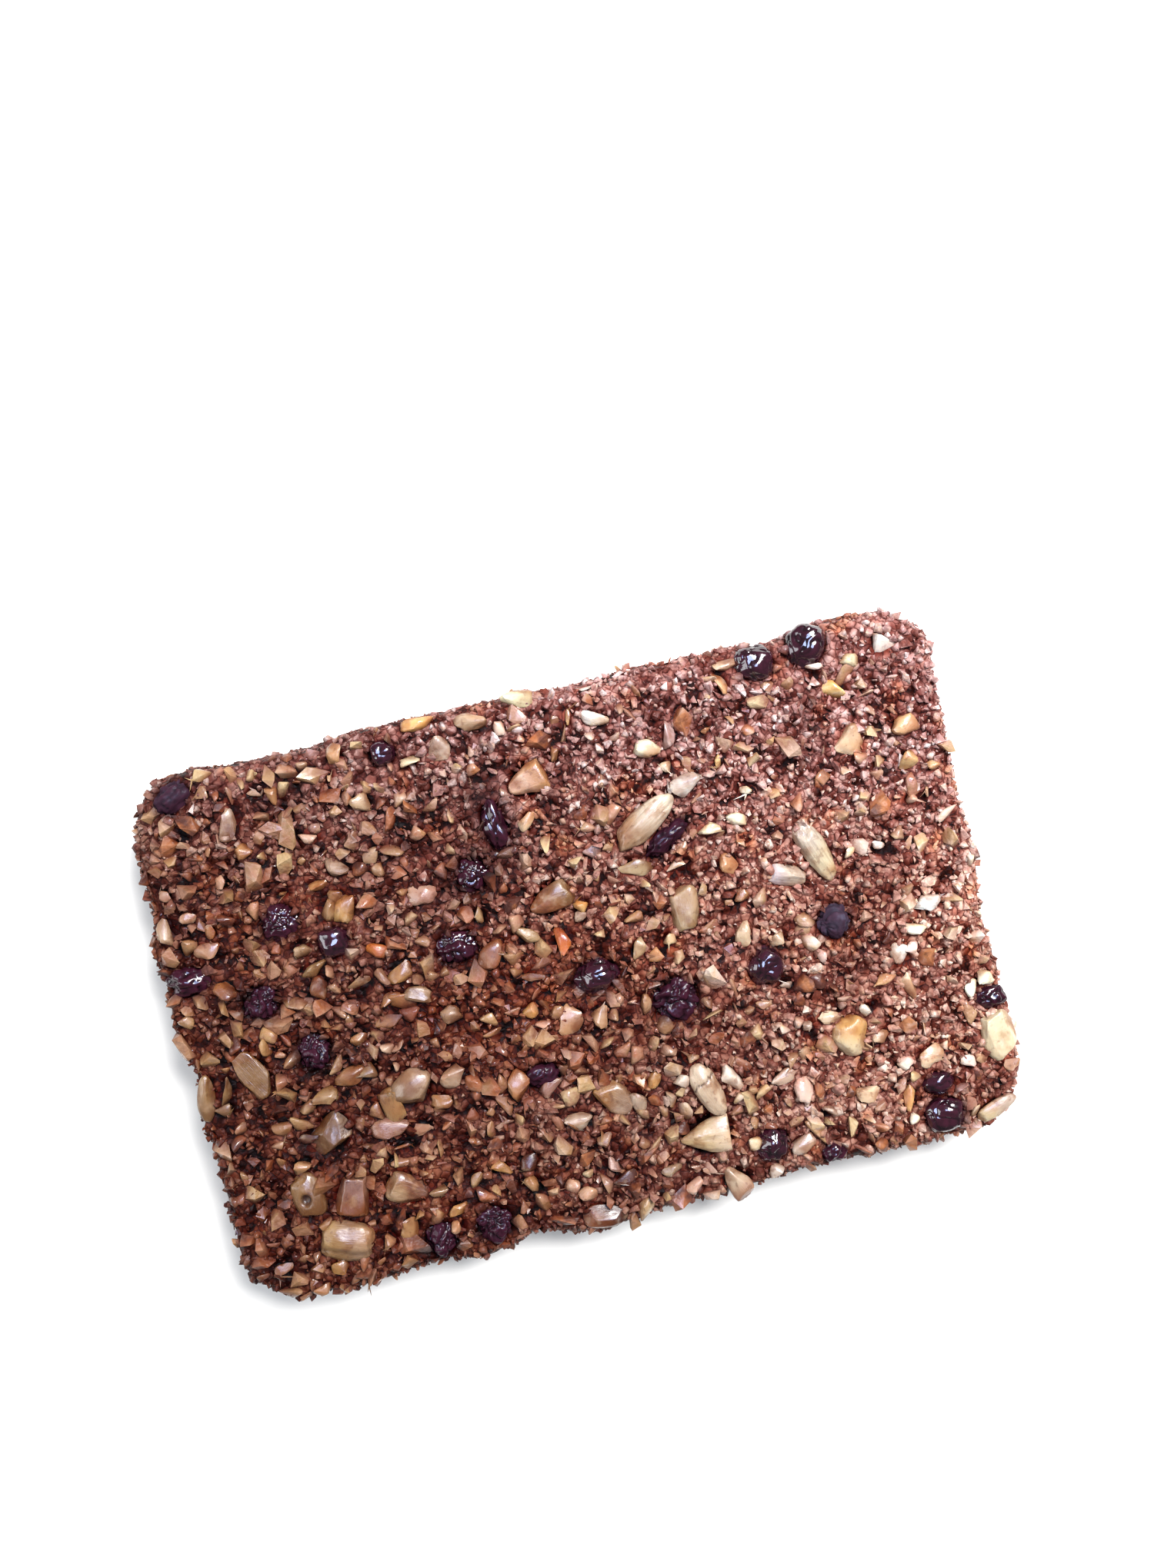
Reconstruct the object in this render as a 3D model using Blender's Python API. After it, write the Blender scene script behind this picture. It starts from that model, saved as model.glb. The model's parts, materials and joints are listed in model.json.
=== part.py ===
"""Energy bar: a slab of pressed seed crumb, with whole kernels and dark berries set in its top.

Lengths are metres. The origin is the middle of the underside. +X runs along the long side,
+Y along the short side and +Z up through the thickness.
"""

import math
import random

import bmesh
import bpy
from mathutils import Matrix, Vector, noise

MM = 0.001
SEED = 2417

# The slab: a rounded rectangle with an uneven, broken edge.
LENGTH = 96.8 * MM
WIDTH = 64.6 * MM
THICKNESS = 9.0 * MM
CORNER_RADIUS = 5.6 * MM
CELL = 3.7 * MM  # spacing of the top's relief
FIRST_CELL = 1.7 * MM  # the cells along the rim are narrower

# The side's profile, from the underside up: height as a share of the thickness, and how far it is drawn in.
SIDE_PROFILE = (
    (0.00, 0.70 * MM),
    (0.16, 0.10 * MM),
    (0.48, 0.00 * MM),
    (0.80, 0.20 * MM),
    (0.95, 1.00 * MM),
)
BROAD_RELIEF, BROAD_SIZE = 0.6 * MM, 11.0 * MM  # height and width of the wide unevenness
CRUMB_RELIEF, CRUMB_SIZE = 1.0 * MM, 4.1 * MM  # height and width of the crumb's lumps
SIDE_RELIEF, SIDE_SIZE = 0.9 * MM, 4.3 * MM

# Bulges and notches of the outline: x and y in mm, push outwards in mm, reach along the edge in mm.
EDGE_BUMPS = (
    (-46.6, -31.2, -1.3, 3.2),
    (-27.0, -33.0, -0.3, 6.0),
    (-18.4, -33.3, 0.4, 2.7),
    (-13.8, -32.2, -1.3, 2.3),
    (-5.0, -33.8, 0.6, 4.3),
    (11.0, -33.8, 0.8, 2.5),
    (15.0, -32.5, -0.9, 1.9),
    (20.4, -32.7, -0.8, 1.5),
    (47.6, -31.4, -0.9, 3.4),
    (49.6, -19.9, 0.6, 3.9),
    (48.4, -7.0, -0.6, 3.5),
    (49.5, 2.3, 0.5, 2.7),
    (48.5, 10.5, -0.6, 2.3),
    (49.4, 18.2, 0.4, 3.1),
    (47.2, 31.2, -0.4, 3.0),
    (38.5, 32.8, 0.6, 5.7),
    (26.0, 32.2, -0.3, 4.0),
    (5.3, 32.0, -0.3, 5.2),
    (-30.7, 31.5, -0.7, 7.2),
    (-46.9, 30.8, -0.7, 4.0),
    (-48.1, 26.5, -0.4, 3.6),
    (-48.8, 13.0, 1.2, 3.4),
    (-49.7, 4.8, 0.9, 4.5),
    (-48.4, -2.6, -0.4, 1.9),
    (-48.3, -18.3, -0.4, 2.1),
    (-47.9, -27.1, -0.6, 3.5),
)

# Dark berries: x, y, length and width in mm, turn in degrees and how far the top stands proud in mm.
BERRY_HEIGHT = 0.86  # of the width
BERRIES = (
    (32.6, 29.9, 5.0, 4.6, 80, 1.0),
    (26.4, 29.3, 4.4, 4.0, 0, 0.6),
    (-42.3, 29.0, 4.4, 3.2, 40, 0.3),
    (-18.1, 28.6, 2.9, 2.6, 0, 0.4),
    (-7.5, 17.6, 5.8, 2.8, 95, 0.1),
    (-11.3, 12.6, 3.8, 3.6, 0, 0.2),
    (11.8, 11.6, 6.0, 2.4, 32, 0.2),
    (-33.9, 12.4, 4.4, 3.6, 20, 0.4),
    (-28.4, 8.8, 3.6, 3.4, 0, 0.7),
    (-45.4, 8.2, 4.6, 3.0, 0, 0.1),
    (-38.0, 3.9, 4.2, 3.8, 0, 0.2),
    (-14.9, 4.8, 4.8, 4.0, 0, 0.3),
    (-33.7, -3.1, 4.4, 4.2, 60, 0.1),
    (0.1, -2.3, 5.4, 3.9, 0, 0.4),
    (8.6, -7.1, 5.6, 4.8, 15, 0.3),
    (19.9, -6.0, 4.4, 3.8, 80, 0.6),
    (28.9, -2.6, 4.2, 4.0, 90, 0.5),
    (-8.6, -12.3, 4.2, 3.0, 0, 0.2),
    (46.0, -16.2, 3.6, 2.4, 0, 0.2),
    (37.4, -24.8, 3.6, 2.6, 0, 0.5),
    (37.4, -28.7, 4.8, 4.1, 0, 0.5),
    (16.0, -27.1, 4.0, 3.6, 30, 0.5),
    (-24.4, -28.3, 4.2, 4.0, 90, 0.2),
    (-18.1, -27.9, 4.2, 3.8, 0, 0.3),
    (23.1, -29.9, 2.8, 2.3, 0, 0.1),
)

# Kernels as large as the berries: name, x, y, length and width in mm, turn in degrees, how far the top stands
# proud in mm, and taper from 0 for an even oval to 1 for a point at the end that the turn faces.
KERNEL_HEIGHT = 0.62  # of the width
KERNELS = (
    ("kernel_long", 9.6, 14.1, 8.7, 3.5, 32, 0.8, 0.25),
    ("kernel_upright", 28.5, 6.0, 7.6, 2.9, 112, 0.8, 0.35),
    ("kernel_half", -34.9, -25.6, 5.8, 4.2, -20, 0.8, 0.10),
    ("kernel_cracked", 10.1, -18.5, 6.2, 3.0, -72, 0.7, 0.30),
    ("kernel_fan", 8.9, -24.1, 6.2, 4.2, 176, 0.6, 0.65),
    ("kernel_block", 45.8, -20.8, 5.3, 3.8, 92, 0.5, 0.05),
    ("kernel_amber", 28.1, -16.4, 4.3, 3.7, 70, 0.7, 0.15),
    ("kernel_slice", -40.8, -4.0, 5.4, 2.3, 118, 0.5, 0.15),
    ("kernel_holed", -38.1, -19.2, 5.2, 3.3, 98, 0.5, 0.15),
    ("kernel_domed", -23.5, -9.9, 4.9, 4.1, 40, 0.7, 0.20),
    ("kernel_olive", -33.7, -12.8, 5.2, 4.2, 50, 0.4, 0.10),
    ("kernel_two_tone", -33.1, -20.6, 4.9, 3.9, 70, 0.5, 0.10),
    ("kernel_glassy", -27.0, -21.4, 4.8, 3.4, -30, 0.4, 0.15),
    ("kernel_tall", 12.1, 3.0, 5.1, 2.9, 78, 0.5, 0.15),
    ("kernel_three_sided", -2.4, 21.8, 4.9, 2.8, 195, 0.5, 0.50),
    ("kernel_grooved", -2.9, 7.9, 4.7, 2.6, 15, 0.5, 0.30),
    ("kernel_rim", -46.5, -5.3, 4.9, 2.0, 80, 0.3, 0.20),
    ("kernel_corner", 43.6, -29.4, 4.9, 1.9, 20, 0.2, 0.25),
    ("kernel_brown", -5.2, -30.4, 4.9, 2.6, -12, 0.3, 0.15),
    ("kernel_spur", 11.1, -30.5, 4.2, 2.8, -62, 0.3, 0.35),
    ("kernel_glassy_small", 24.6, 4.1, 4.5, 2.5, -20, 0.3, 0.20),
    ("kernel_amber_dark", -1.0, -16.7, 4.4, 3.0, -62, 0.4, 0.20),
)

# Chips pressed into the crumb where the top shows them: x, y, length and width in mm, and turn in degrees.
CHIP_HEIGHT = 0.65  # of the width
BLOCK_SHARE = 0.72  # side of an angular fragment as a share of its stated size
CHIPS = (
    (-28.3, 21.2, 3.3, 2.5, -20),
    (-21.5, 23.7, 2.7, 2.0, -10),
    (-36.2, 25.1, 4.4, 2.3, 75),
    (-26.3, 17.1, 3.1, 2.3, -20),
    (-46.2, 14.4, 3.0, 2.5, 80),
    (-17.4, 11.8, 3.4, 2.2, 0),
    (-26.2, 12.2, 3.2, 2.7, 60),
    (-31.4, 6.5, 3.2, 2.1, 10),
    (-23.7, 6.9, 2.6, 1.9, -15),
    (-31.7, 3.9, 3.0, 2.6, 60),
    (-21.9, 3.7, 3.4, 2.4, 20),
    (-26.4, 3.0, 3.6, 2.1, 15),
    (-20.6, 0.3, 3.0, 2.6, -35),
    (-42.3, 10.9, 3.0, 2.4, 20),
    (-41.3, 6.4, 2.7, 2.3, 0),
    (-13.8, 31.1, 4.4, 1.6, 2),
    (-1.8, 31.2, 3.7, 2.0, 5),
    (-7.4, 29.9, 3.6, 1.9, -10),
    (-11.6, 27.8, 2.9, 2.3, 70),
    (3.6, 28.0, 3.0, 2.3, 80),
    (6.7, 27.1, 3.6, 1.8, -35),
    (11.6, 22.3, 3.1, 2.2, -5),
    (15.3, 17.3, 4.0, 2.5, 10),
    (16.9, 11.4, 3.0, 1.8, -5),
    (12.4, 7.7, 3.6, 2.6, 20),
    (7.4, 9.1, 4.4, 2.0, -10),
    (17.9, 6.9, 3.7, 2.5, -10),
    (0.3, 6.1, 2.4, 1.9, 60),
    (-2.7, 2.8, 3.7, 2.5, 55),
    (-10.9, 3.2, 3.7, 2.7, 50),
    (-7.0, 4.4, 3.3, 1.7, -20),
    (35.1, 24.1, 3.1, 2.7, 20),
    (41.5, 28.2, 3.7, 2.3, -35),
    (37.4, 26.9, 2.3, 1.8, 0),
    (35.6, 17.8, 3.7, 3.2, 40),
    (42.2, 18.2, 3.0, 2.4, 20),
    (19.8, 18.9, 2.9, 1.6, 10),
    (21.9, 15.1, 2.8, 2.3, 60),
    (41.2, 9.3, 3.2, 1.9, -30),
    (40.8, -3.1, 4.1, 1.9, 5),
    (-43.9, -4.9, 3.7, 2.6, 70),
    (-30.4, -6.9, 3.9, 2.0, 12),
    (-33.8, -8.4, 3.2, 1.9, 15),
    (-27.0, -13.9, 4.2, 2.3, -5),
    (-18.7, -9.6, 2.9, 2.4, 20),
    (-23.3, -14.6, 2.4, 1.8, 0),
    (-17.4, -2.8, 3.8, 2.3, -40),
    (-12.7, -24.4, 3.7, 2.7, -25),
    (-11.6, -12.3, 3.8, 2.4, 80),
    (-3.8, -6.9, 3.5, 2.6, 70),
    (-0.6, -6.9, 3.0, 2.0, 80),
    (-5.4, -18.4, 3.7, 2.3, -20),
    (8.4, -14.5, 2.7, 2.1, 0),
    (13.1, -17.9, 3.3, 2.0, -60),
    (18.4, -1.5, 3.3, 1.8, 62),
    (36.2, -8.7, 3.7, 2.5, -60),
    (38.2, -5.6, 2.8, 1.6, 0),
    (23.3, -14.1, 3.4, 2.6, 80),
    (31.8, -17.4, 3.8, 1.8, 35),
    (43.4, -14.7, 2.4, 1.9, 10),
    (33.7, -25.3, 3.6, 1.7, 70),
    (37.2, -21.0, 3.4, 2.6, 0),
    (-0.3, -30.7, 2.8, 2.1, 80),
    (19.6, -27.8, 2.8, 2.1, 0),
    (-29.8, -26.5, 2.9, 2.1, 10),
)

SCATTERED_ON_TOP = 43  # further chips, drawn from the seed
SCATTERED_ON_SIDES = 43
SCATTER_LENGTH = (2.0 * MM, 3.3 * MM)
SCATTER_SPACING = 1.0 * MM  # clear room between one scattered piece and the next
SET_IN_GAP = 0.3 * MM  # between the crumb and each piece that is its own solid
POCKET_SPREAD = 1.09  # a pocket has few faces, and its corners stand this much further out
TILT = math.radians(14)  # most that a pressed-in piece leans

COLOURS = {
    "crumb": (0.19, 0.085, 0.065, 1.0),
    "berry": (0.022, 0.010, 0.018, 1.0),
    "kernel": (0.46, 0.33, 0.19, 1.0),
}
ROUGHNESS = {"crumb": 0.60, "berry": 0.22, "kernel": 0.42}


def make_material(name):
    """A Principled material with the named piece's colour and roughness."""
    material = bpy.data.materials.new(name)
    material.use_nodes = True
    shader = material.node_tree.nodes["Principled BSDF"]
    shader.inputs["Base Color"].default_value = COLOURS[name]
    shader.inputs["Roughness"].default_value = ROUGHNESS[name]
    shader.inputs["Metallic"].default_value = 0.0
    return material


def new_object(name, mesh, collection, material):
    """An object of this mesh in the collection."""
    made = bpy.data.objects.new(name, mesh)
    made.data.materials.clear()
    made.data.materials.append(material)
    collection.objects.link(made)
    return made


def new_collection(name):
    """A collection in the scene."""
    made = bpy.data.collections.new(name)
    bpy.context.scene.collection.children.link(made)
    return made


def inner_point(point):
    """The nearest point of the rectangle through the corners' centres."""
    reach_x = LENGTH / 2 - CORNER_RADIUS
    reach_y = WIDTH / 2 - CORNER_RADIUS
    return Vector((max(-reach_x, min(reach_x, point.x)), max(-reach_y, min(reach_y, point.y))))


def edge_push(point):
    """How far the uneven edge stands out at this place in plan."""
    push = 0.0
    for x, y, height, reach in EDGE_BUMPS:
        away = (point - Vector((x, y)) * MM).length / (reach * MM)
        push += height * MM * math.exp(-away * away)
    return push


def plan_point(u, v):
    """The place in plan of (u, v) in the square from -1 to 1: its plain and its uneven place, and the way out.

    Squares in the corners become round, and the edge's unevenness fades towards the middle.
    """
    plain = Vector((u * LENGTH / 2, v * WIDTH / 2))
    inner = inner_point(plain)
    out = plain - inner
    if out.length == 0:
        return plain, plain, Vector((0.0, 0.0))
    out *= max(abs(out.x), abs(out.y)) / out.length
    share = out.length / CORNER_RADIUS
    plain = inner + out
    way = out.normalized()
    return plain, plain + way * edge_push(plain) * share, way


def outline_point(distance):
    """The point of the uneven outline this far round it from the middle of the right side, and its way out."""
    straight_y = WIDTH - 2 * CORNER_RADIUS
    straight_x = LENGTH - 2 * CORNER_RADIUS
    arc = CORNER_RADIUS * math.pi / 2
    left = (distance + straight_y / 2) % (2 * (straight_x + straight_y) + 4 * arc)
    corner = Vector((straight_x / 2, -straight_y / 2))
    way = Vector((1.0, 0.0))
    quarter = Matrix.Rotation(math.pi / 2, 2)
    for side in (straight_y, straight_x, straight_y, straight_x):
        along = quarter @ way
        if left < side:
            corner = corner + along * left
            break
        corner = corner + along * side
        left -= side
        if left < arc:
            way = Matrix.Rotation(left / CORNER_RADIUS, 2) @ way
            break
        left -= arc
        way = along
    plain = corner + way * CORNER_RADIUS
    return plain + way * edge_push(plain), way


def top_height(x, y):
    """Height of the slab's top, with its wide unevenness and the crumb's lumps."""
    broad = noise.noise(Vector((x, y, 0.0)) / BROAD_SIZE)
    crumb = noise.noise(Vector((x, y, 4 * CRUMB_SIZE)) / CRUMB_SIZE)
    return THICKNESS + broad * BROAD_RELIEF + crumb * CRUMB_RELIEF


def cut_places(side):
    """The cuts across a side, as shares from -1 to 1: even cells, with a narrower one at each rim."""
    reach = side / 2 - FIRST_CELL
    cells = round(2 * reach / CELL)
    return [(-reach + 2 * reach * cell / cells) / (side / 2) for cell in range(cells + 1)]


def make_slab(collection, material):
    """The bare slab: a cube cut into cells, each corner then moved to its place."""
    sheet = bmesh.new()
    bmesh.ops.create_cube(sheet, size=2.0)
    levels = [2 * height / SIDE_PROFILE[-1][0] - 1 for height, _ in SIDE_PROFILE[1:-1]]
    for axis, places in enumerate((cut_places(LENGTH), cut_places(WIDTH), levels)):
        way = Vector([float(axis == other) for other in range(3)])
        for place in places:
            everything = sheet.verts[:] + sheet.edges[:] + sheet.faces[:]
            bmesh.ops.bisect_plane(sheet, geom=everything, plane_co=way * place, plane_no=way)
    for vertex in sheet.verts:
        u, v, w = vertex.co
        _, place, way = plan_point(u, v)
        on_side = max(abs(u), abs(v)) > 0.9999
        if on_side:
            share = (w + 1) / 2 * SIDE_PROFILE[-1][0]
            drawn_in = next(inset for height, inset in SIDE_PROFILE if height > share - 0.001)
            z = share * THICKNESS
            lump = noise.noise(Vector((place.x, place.y, z)) / SIDE_SIZE) * SIDE_RELIEF
            place = place + way * (lump - drawn_in)
        elif w > 0:
            z = top_height(place.x, place.y)
        else:
            z = 0.0
        vertex.co = (place.x, place.y, z)
    bmesh.ops.recalc_face_normals(sheet, faces=sheet.faces[:])
    mesh = bpy.data.meshes.new("bar")
    sheet.to_mesh(mesh)
    sheet.free()
    return new_object("bar", mesh, collection, material)


def add_ball(mesh):
    """A round ball of 80 triangles."""
    bmesh.ops.create_icosphere(mesh, subdivisions=2, radius=1.0)


def add_pebble(mesh):
    """A coarse ball of 20 triangles."""
    bmesh.ops.create_icosphere(mesh, subdivisions=1, radius=1.0)


def add_block(mesh):
    """A cube of 12 triangles, about as large as the coarse ball."""
    bmesh.ops.create_cube(mesh, size=2 * BLOCK_SHARE)
    bmesh.ops.triangulate(mesh, faces=mesh.faces[:])


def add_hollow(mesh):
    """A ball of 48 triangles."""
    bmesh.ops.create_uvsphere(mesh, u_segments=8, v_segments=4, radius=1.0)


def make_piece_mesh(name, add_form, sizes, shape):
    """A mesh of this form with these three sizes, each of its points first moved by the shape function."""
    piece = bmesh.new()
    add_form(piece)
    for vertex in piece.verts:
        point = shape(vertex.co.copy())
        vertex.co = [part * size / 2 for part, size in zip(point, sizes)]
    bmesh.ops.recalc_face_normals(piece, faces=piece.faces[:])
    mesh = bpy.data.meshes.new(name)
    piece.to_mesh(mesh)
    piece.free()
    return mesh


def berry_shape(dice):
    """A wrinkled ball: shallow dents from one draw of the dice."""
    offset = Vector([dice.uniform(-50, 50) for _ in range(3)])
    return lambda point: point * (0.97 + 0.10 * noise.noise(point * 1.7 + offset))


def kernel_shape(dice, taper):
    """An oval seed that narrows towards +X, with a blunt ridge along it."""
    offset = Vector([dice.uniform(-50, 50) for _ in range(3)])

    def shape(point):
        narrowing = 1.0 - taper * (0.5 + 0.5 * point.x) ** 1.5
        ridge = 1.0 - 0.12 * abs(point.y)
        point = Vector((point.x, point.y * narrowing, point.z * narrowing**0.5 * ridge))
        return point * (0.98 + 0.05 * noise.noise(point * 1.3 + offset))

    return shape


def chip_shape(dice):
    """An angular fragment: each corner of the ball is drawn out or in."""
    return lambda point: point * dice.uniform(0.82, 1.16)


def place_on_top(piece, x, y, height, proud, turn, dice, lean=TILT):
    """Sets a piece into the top, turned, leaning a little and standing this far proud of the slab's plain top."""
    piece.location = (x, y, THICKNESS + proud - height / 2)
    piece.rotation_euler = (dice.uniform(-lean, lean), dice.uniform(-lean, lean), turn)


def set_in_piece(name, sizes, shape, place, collections, material, dice, lean):
    """A piece that is its own solid, set into the top, and the cutter of its pocket, larger by the gap all round."""
    parts, cutters = collections
    x, y, proud, turn = place
    piece = new_object(name, make_piece_mesh(name, add_ball, sizes, shape), parts, material)
    place_on_top(piece, x, y, sizes[2], proud, turn, dice, lean)
    pocket_sizes = [(size + 2 * SET_IN_GAP) * POCKET_SPREAD for size in sizes]
    pocket_mesh = make_piece_mesh(name + "_pocket", add_hollow, pocket_sizes, shape)
    pocket = new_object(name + "_pocket", pocket_mesh, cutters, material)
    pocket.location = piece.location
    pocket.rotation_euler = piece.rotation_euler
    pocket.hide_render = True
    pocket.display_type = "WIRE"


def set_in_pieces(parts, cutters, dice):
    """The berries and the large kernels with their pockets, and the room that they take in plan."""
    material = make_material("berry")
    taken = []
    for number, (x, y, length, width, turn, proud) in enumerate(BERRIES, 1):
        sizes = (length * MM, width * MM, width * BERRY_HEIGHT * MM)
        place = (x * MM, y * MM, proud * MM, math.radians(turn))
        shape = berry_shape(dice)
        set_in_piece(f"berry_{number:02d}", sizes, shape, place, (parts, cutters), material, dice, TILT)
        taken.append((x * MM, y * MM, length * MM, width * MM))
    material = make_material("kernel")
    for name, x, y, length, width, turn, proud, taper in KERNELS:
        sizes = (length * MM, width * MM, width * KERNEL_HEIGHT * MM)
        place = (x * MM, y * MM, proud * MM, math.radians(turn))
        shape = kernel_shape(dice, taper)
        set_in_piece(name, sizes, shape, place, (parts, cutters), material, dice, TILT / 2)
        taken.append((x * MM, y * MM, length * MM, width * MM))
    return taken


def is_clear(x, y, length, taken, spacing):
    """Whether a piece here keeps this far from each of those already placed, all taken as round."""
    return all(
        math.hypot(x - other_x, y - other_y) > length / 2 + (long + wide) / 4 + spacing
        for other_x, other_y, long, wide in taken
    )


def press_in_chips(pressed, taken, material, dice):
    """The fused chips: those that the top shows, then scattered ones on the top and round the sides."""
    set_in = list(taken)
    for x, y, length, width, turn in CHIPS:
        size = (length + width) / 2 * MM
        if not is_clear(x * MM, y * MM, size, set_in, SET_IN_GAP):
            continue
        sizes = (length * MM, width * MM)
        add_chip(pressed, material, dice, (x * MM, y * MM), sizes, math.radians(turn), add_pebble)
        taken.append((x * MM, y * MM, length * MM, width * MM))
    placed = 0
    while placed < SCATTERED_ON_TOP:
        x = dice.uniform(-0.5, 0.5) * (LENGTH - 7 * MM)
        y = dice.uniform(-0.5, 0.5) * (WIDTH - 7 * MM)
        length = dice.uniform(*SCATTER_LENGTH)
        if is_clear(x, y, length, taken, SCATTER_SPACING):
            sizes = (length, 0.8 * length)
            add_chip(pressed, material, dice, (x, y), sizes, dice.uniform(0, math.tau), add_block)
            taken.append((x, y, length, length))
            placed += 1
    perimeter = 2 * (LENGTH + WIDTH) - (8 - math.tau) * CORNER_RADIUS
    for number in range(SCATTERED_ON_SIDES):
        distance = (number + dice.uniform(-0.3, 0.3)) * perimeter / SCATTERED_ON_SIDES
        length = dice.uniform(*SCATTER_LENGTH)
        height = dice.uniform(2.4 * MM, THICKNESS - 3.2 * MM)
        point, way = outline_point(distance)
        if not is_clear(point.x, point.y, length, set_in, 0.0):
            height = 2.4 * MM
        sizes = (0.7 * length, length, 0.8 * length)
        mesh = make_piece_mesh("chip", add_block, sizes, chip_shape(dice))
        chip = new_object("chip", mesh, pressed, material)
        place = point - way * 0.16 * length
        chip.location = (place.x, place.y, height)
        chip.rotation_euler = (dice.uniform(-0.6, 0.6), dice.uniform(-TILT, TILT), math.atan2(way.y, way.x))


def add_chip(pressed, material, dice, place, sizes, turn, add_form):
    """One chip of this form, length and width, pressed into the top at this place."""
    length, width = sizes
    height = CHIP_HEIGHT * width
    mesh = make_piece_mesh("chip", add_form, (length, width, height), chip_shape(dice))
    chip = new_object("chip", mesh, pressed, material)
    place_on_top(chip, *place, height, dice.uniform(0.25, 0.6) * MM, turn, dice)


def apply_boolean(target, collection, operation):
    """Joins the collection's objects to the target, or cuts them from it, and removes them."""
    modifier = target.modifiers.new(operation.lower(), "BOOLEAN")
    modifier.operand_type = "COLLECTION"
    modifier.collection = collection
    modifier.operation = operation
    modifier.solver = "MANIFOLD"
    graph = bpy.context.evaluated_depsgraph_get()
    result = bpy.data.meshes.new_from_object(target.evaluated_get(graph))
    target.modifiers.clear()
    target.data = result
    for used in list(collection.objects):
        bpy.data.objects.remove(used)
    bpy.data.collections.remove(collection)


def keep_outer_body(target):
    """Keeps the largest closed surface: sealed hollows are filled and loose scraps dropped.

    A scrap may touch the rest along an edge, which then has more than two faces, so no group crosses one.
    """
    shell = bmesh.new()
    shell.from_mesh(target.data)
    bmesh.ops.triangulate(shell, faces=shell.faces[:])
    shell.faces.index_update()
    seen = set()
    groups = []
    for start in shell.faces:
        if start.index in seen:
            continue
        group = [start]
        seen.add(start.index)
        for face in group:
            for edge in face.edges:
                for other in edge.link_faces if len(edge.link_faces) == 2 else ():
                    if other.index not in seen:
                        seen.add(other.index)
                        group.append(other)
        groups.append(group)
    groups.sort(key=len)
    dropped = [face for group in groups[:-1] for face in group]
    bmesh.ops.delete(shell, geom=dropped, context="FACES")
    shell.to_mesh(target.data)
    shell.free()


def main():
    for old in list(bpy.data.objects):
        bpy.data.objects.remove(old)
    parts = new_collection("energy_bar")
    cutters = new_collection("pockets")
    pressed = new_collection("pressed_in")
    crumb = make_material("crumb")
    dice = random.Random(SEED)
    bar = make_slab(parts, crumb)
    taken = set_in_pieces(parts, cutters, dice)
    press_in_chips(pressed, taken, crumb, dice)
    apply_boolean(bar, pressed, "UNION")
    keep_outer_body(bar)
    apply_boolean(bar, cutters, "DIFFERENCE")
    keep_outer_body(bar)


main()
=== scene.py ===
"""Dress of the energy bar: its crumb, chips, kernels and berries, and the studio round it.

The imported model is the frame. Lengths are metres, +Z is up and the bar lies on the plane z = 0.
"""

import json
import logging
import math
import random
from dataclasses import dataclass
from enum import Enum

import bmesh
import bpy
import numpy as np
from mathutils import Euler, Matrix, Vector, noise
from mathutils.bvhtree import BVHTree

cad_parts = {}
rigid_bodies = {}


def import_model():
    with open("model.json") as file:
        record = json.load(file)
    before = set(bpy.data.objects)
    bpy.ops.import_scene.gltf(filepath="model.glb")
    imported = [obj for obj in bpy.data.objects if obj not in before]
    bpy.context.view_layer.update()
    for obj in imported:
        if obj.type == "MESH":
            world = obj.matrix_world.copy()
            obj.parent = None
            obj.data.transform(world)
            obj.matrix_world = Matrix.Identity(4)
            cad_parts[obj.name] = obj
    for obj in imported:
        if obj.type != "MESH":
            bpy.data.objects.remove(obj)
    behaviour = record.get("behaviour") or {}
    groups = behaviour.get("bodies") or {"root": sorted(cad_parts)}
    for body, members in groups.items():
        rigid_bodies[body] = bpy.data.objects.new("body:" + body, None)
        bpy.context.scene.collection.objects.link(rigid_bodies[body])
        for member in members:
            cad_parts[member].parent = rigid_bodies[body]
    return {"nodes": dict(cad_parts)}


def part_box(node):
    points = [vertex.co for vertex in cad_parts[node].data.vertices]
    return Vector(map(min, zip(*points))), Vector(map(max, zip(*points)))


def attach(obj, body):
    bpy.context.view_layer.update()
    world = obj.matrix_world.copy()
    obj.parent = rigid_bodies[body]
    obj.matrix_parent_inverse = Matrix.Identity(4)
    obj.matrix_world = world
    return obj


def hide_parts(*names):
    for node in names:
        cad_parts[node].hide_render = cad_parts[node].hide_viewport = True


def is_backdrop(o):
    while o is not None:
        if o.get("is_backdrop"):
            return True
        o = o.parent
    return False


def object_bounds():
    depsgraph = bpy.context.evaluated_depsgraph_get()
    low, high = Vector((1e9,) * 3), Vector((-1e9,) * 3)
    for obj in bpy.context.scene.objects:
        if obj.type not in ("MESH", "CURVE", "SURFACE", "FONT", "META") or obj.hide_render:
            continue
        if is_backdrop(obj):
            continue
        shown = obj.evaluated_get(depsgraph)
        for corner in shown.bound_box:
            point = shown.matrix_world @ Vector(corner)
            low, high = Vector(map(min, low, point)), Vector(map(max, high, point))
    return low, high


LOG = logging.getLogger("energy_bar")
MM = 0.001

Colour = tuple[float, float, float, float]
Sockets = dict[str | int, object]
Box = tuple[Vector, Vector]
Tree = bpy.types.NodeTree
Node = bpy.types.Node
Socket = bpy.types.NodeSocket
Mesh = bpy.types.Mesh
Piece = bpy.types.Object
Material = bpy.types.Material


def srgb(red: int, green: int, blue: int) -> Colour:
    """The linear colour of an 8-bit display colour.

    Args:
        red: Display red, 0 to 255.
        green: Display green, 0 to 255.
        blue: Display blue, 0 to 255.

    Returns:
        The linear colour with full alpha.
    """
    parts = [part / 255 for part in (red, green, blue)]
    linear = [part / 12.92 if part <= 0.04045 else ((part + 0.055) / 1.055) ** 2.4 for part in parts]
    return linear[0], linear[1], linear[2], 1.0


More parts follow.
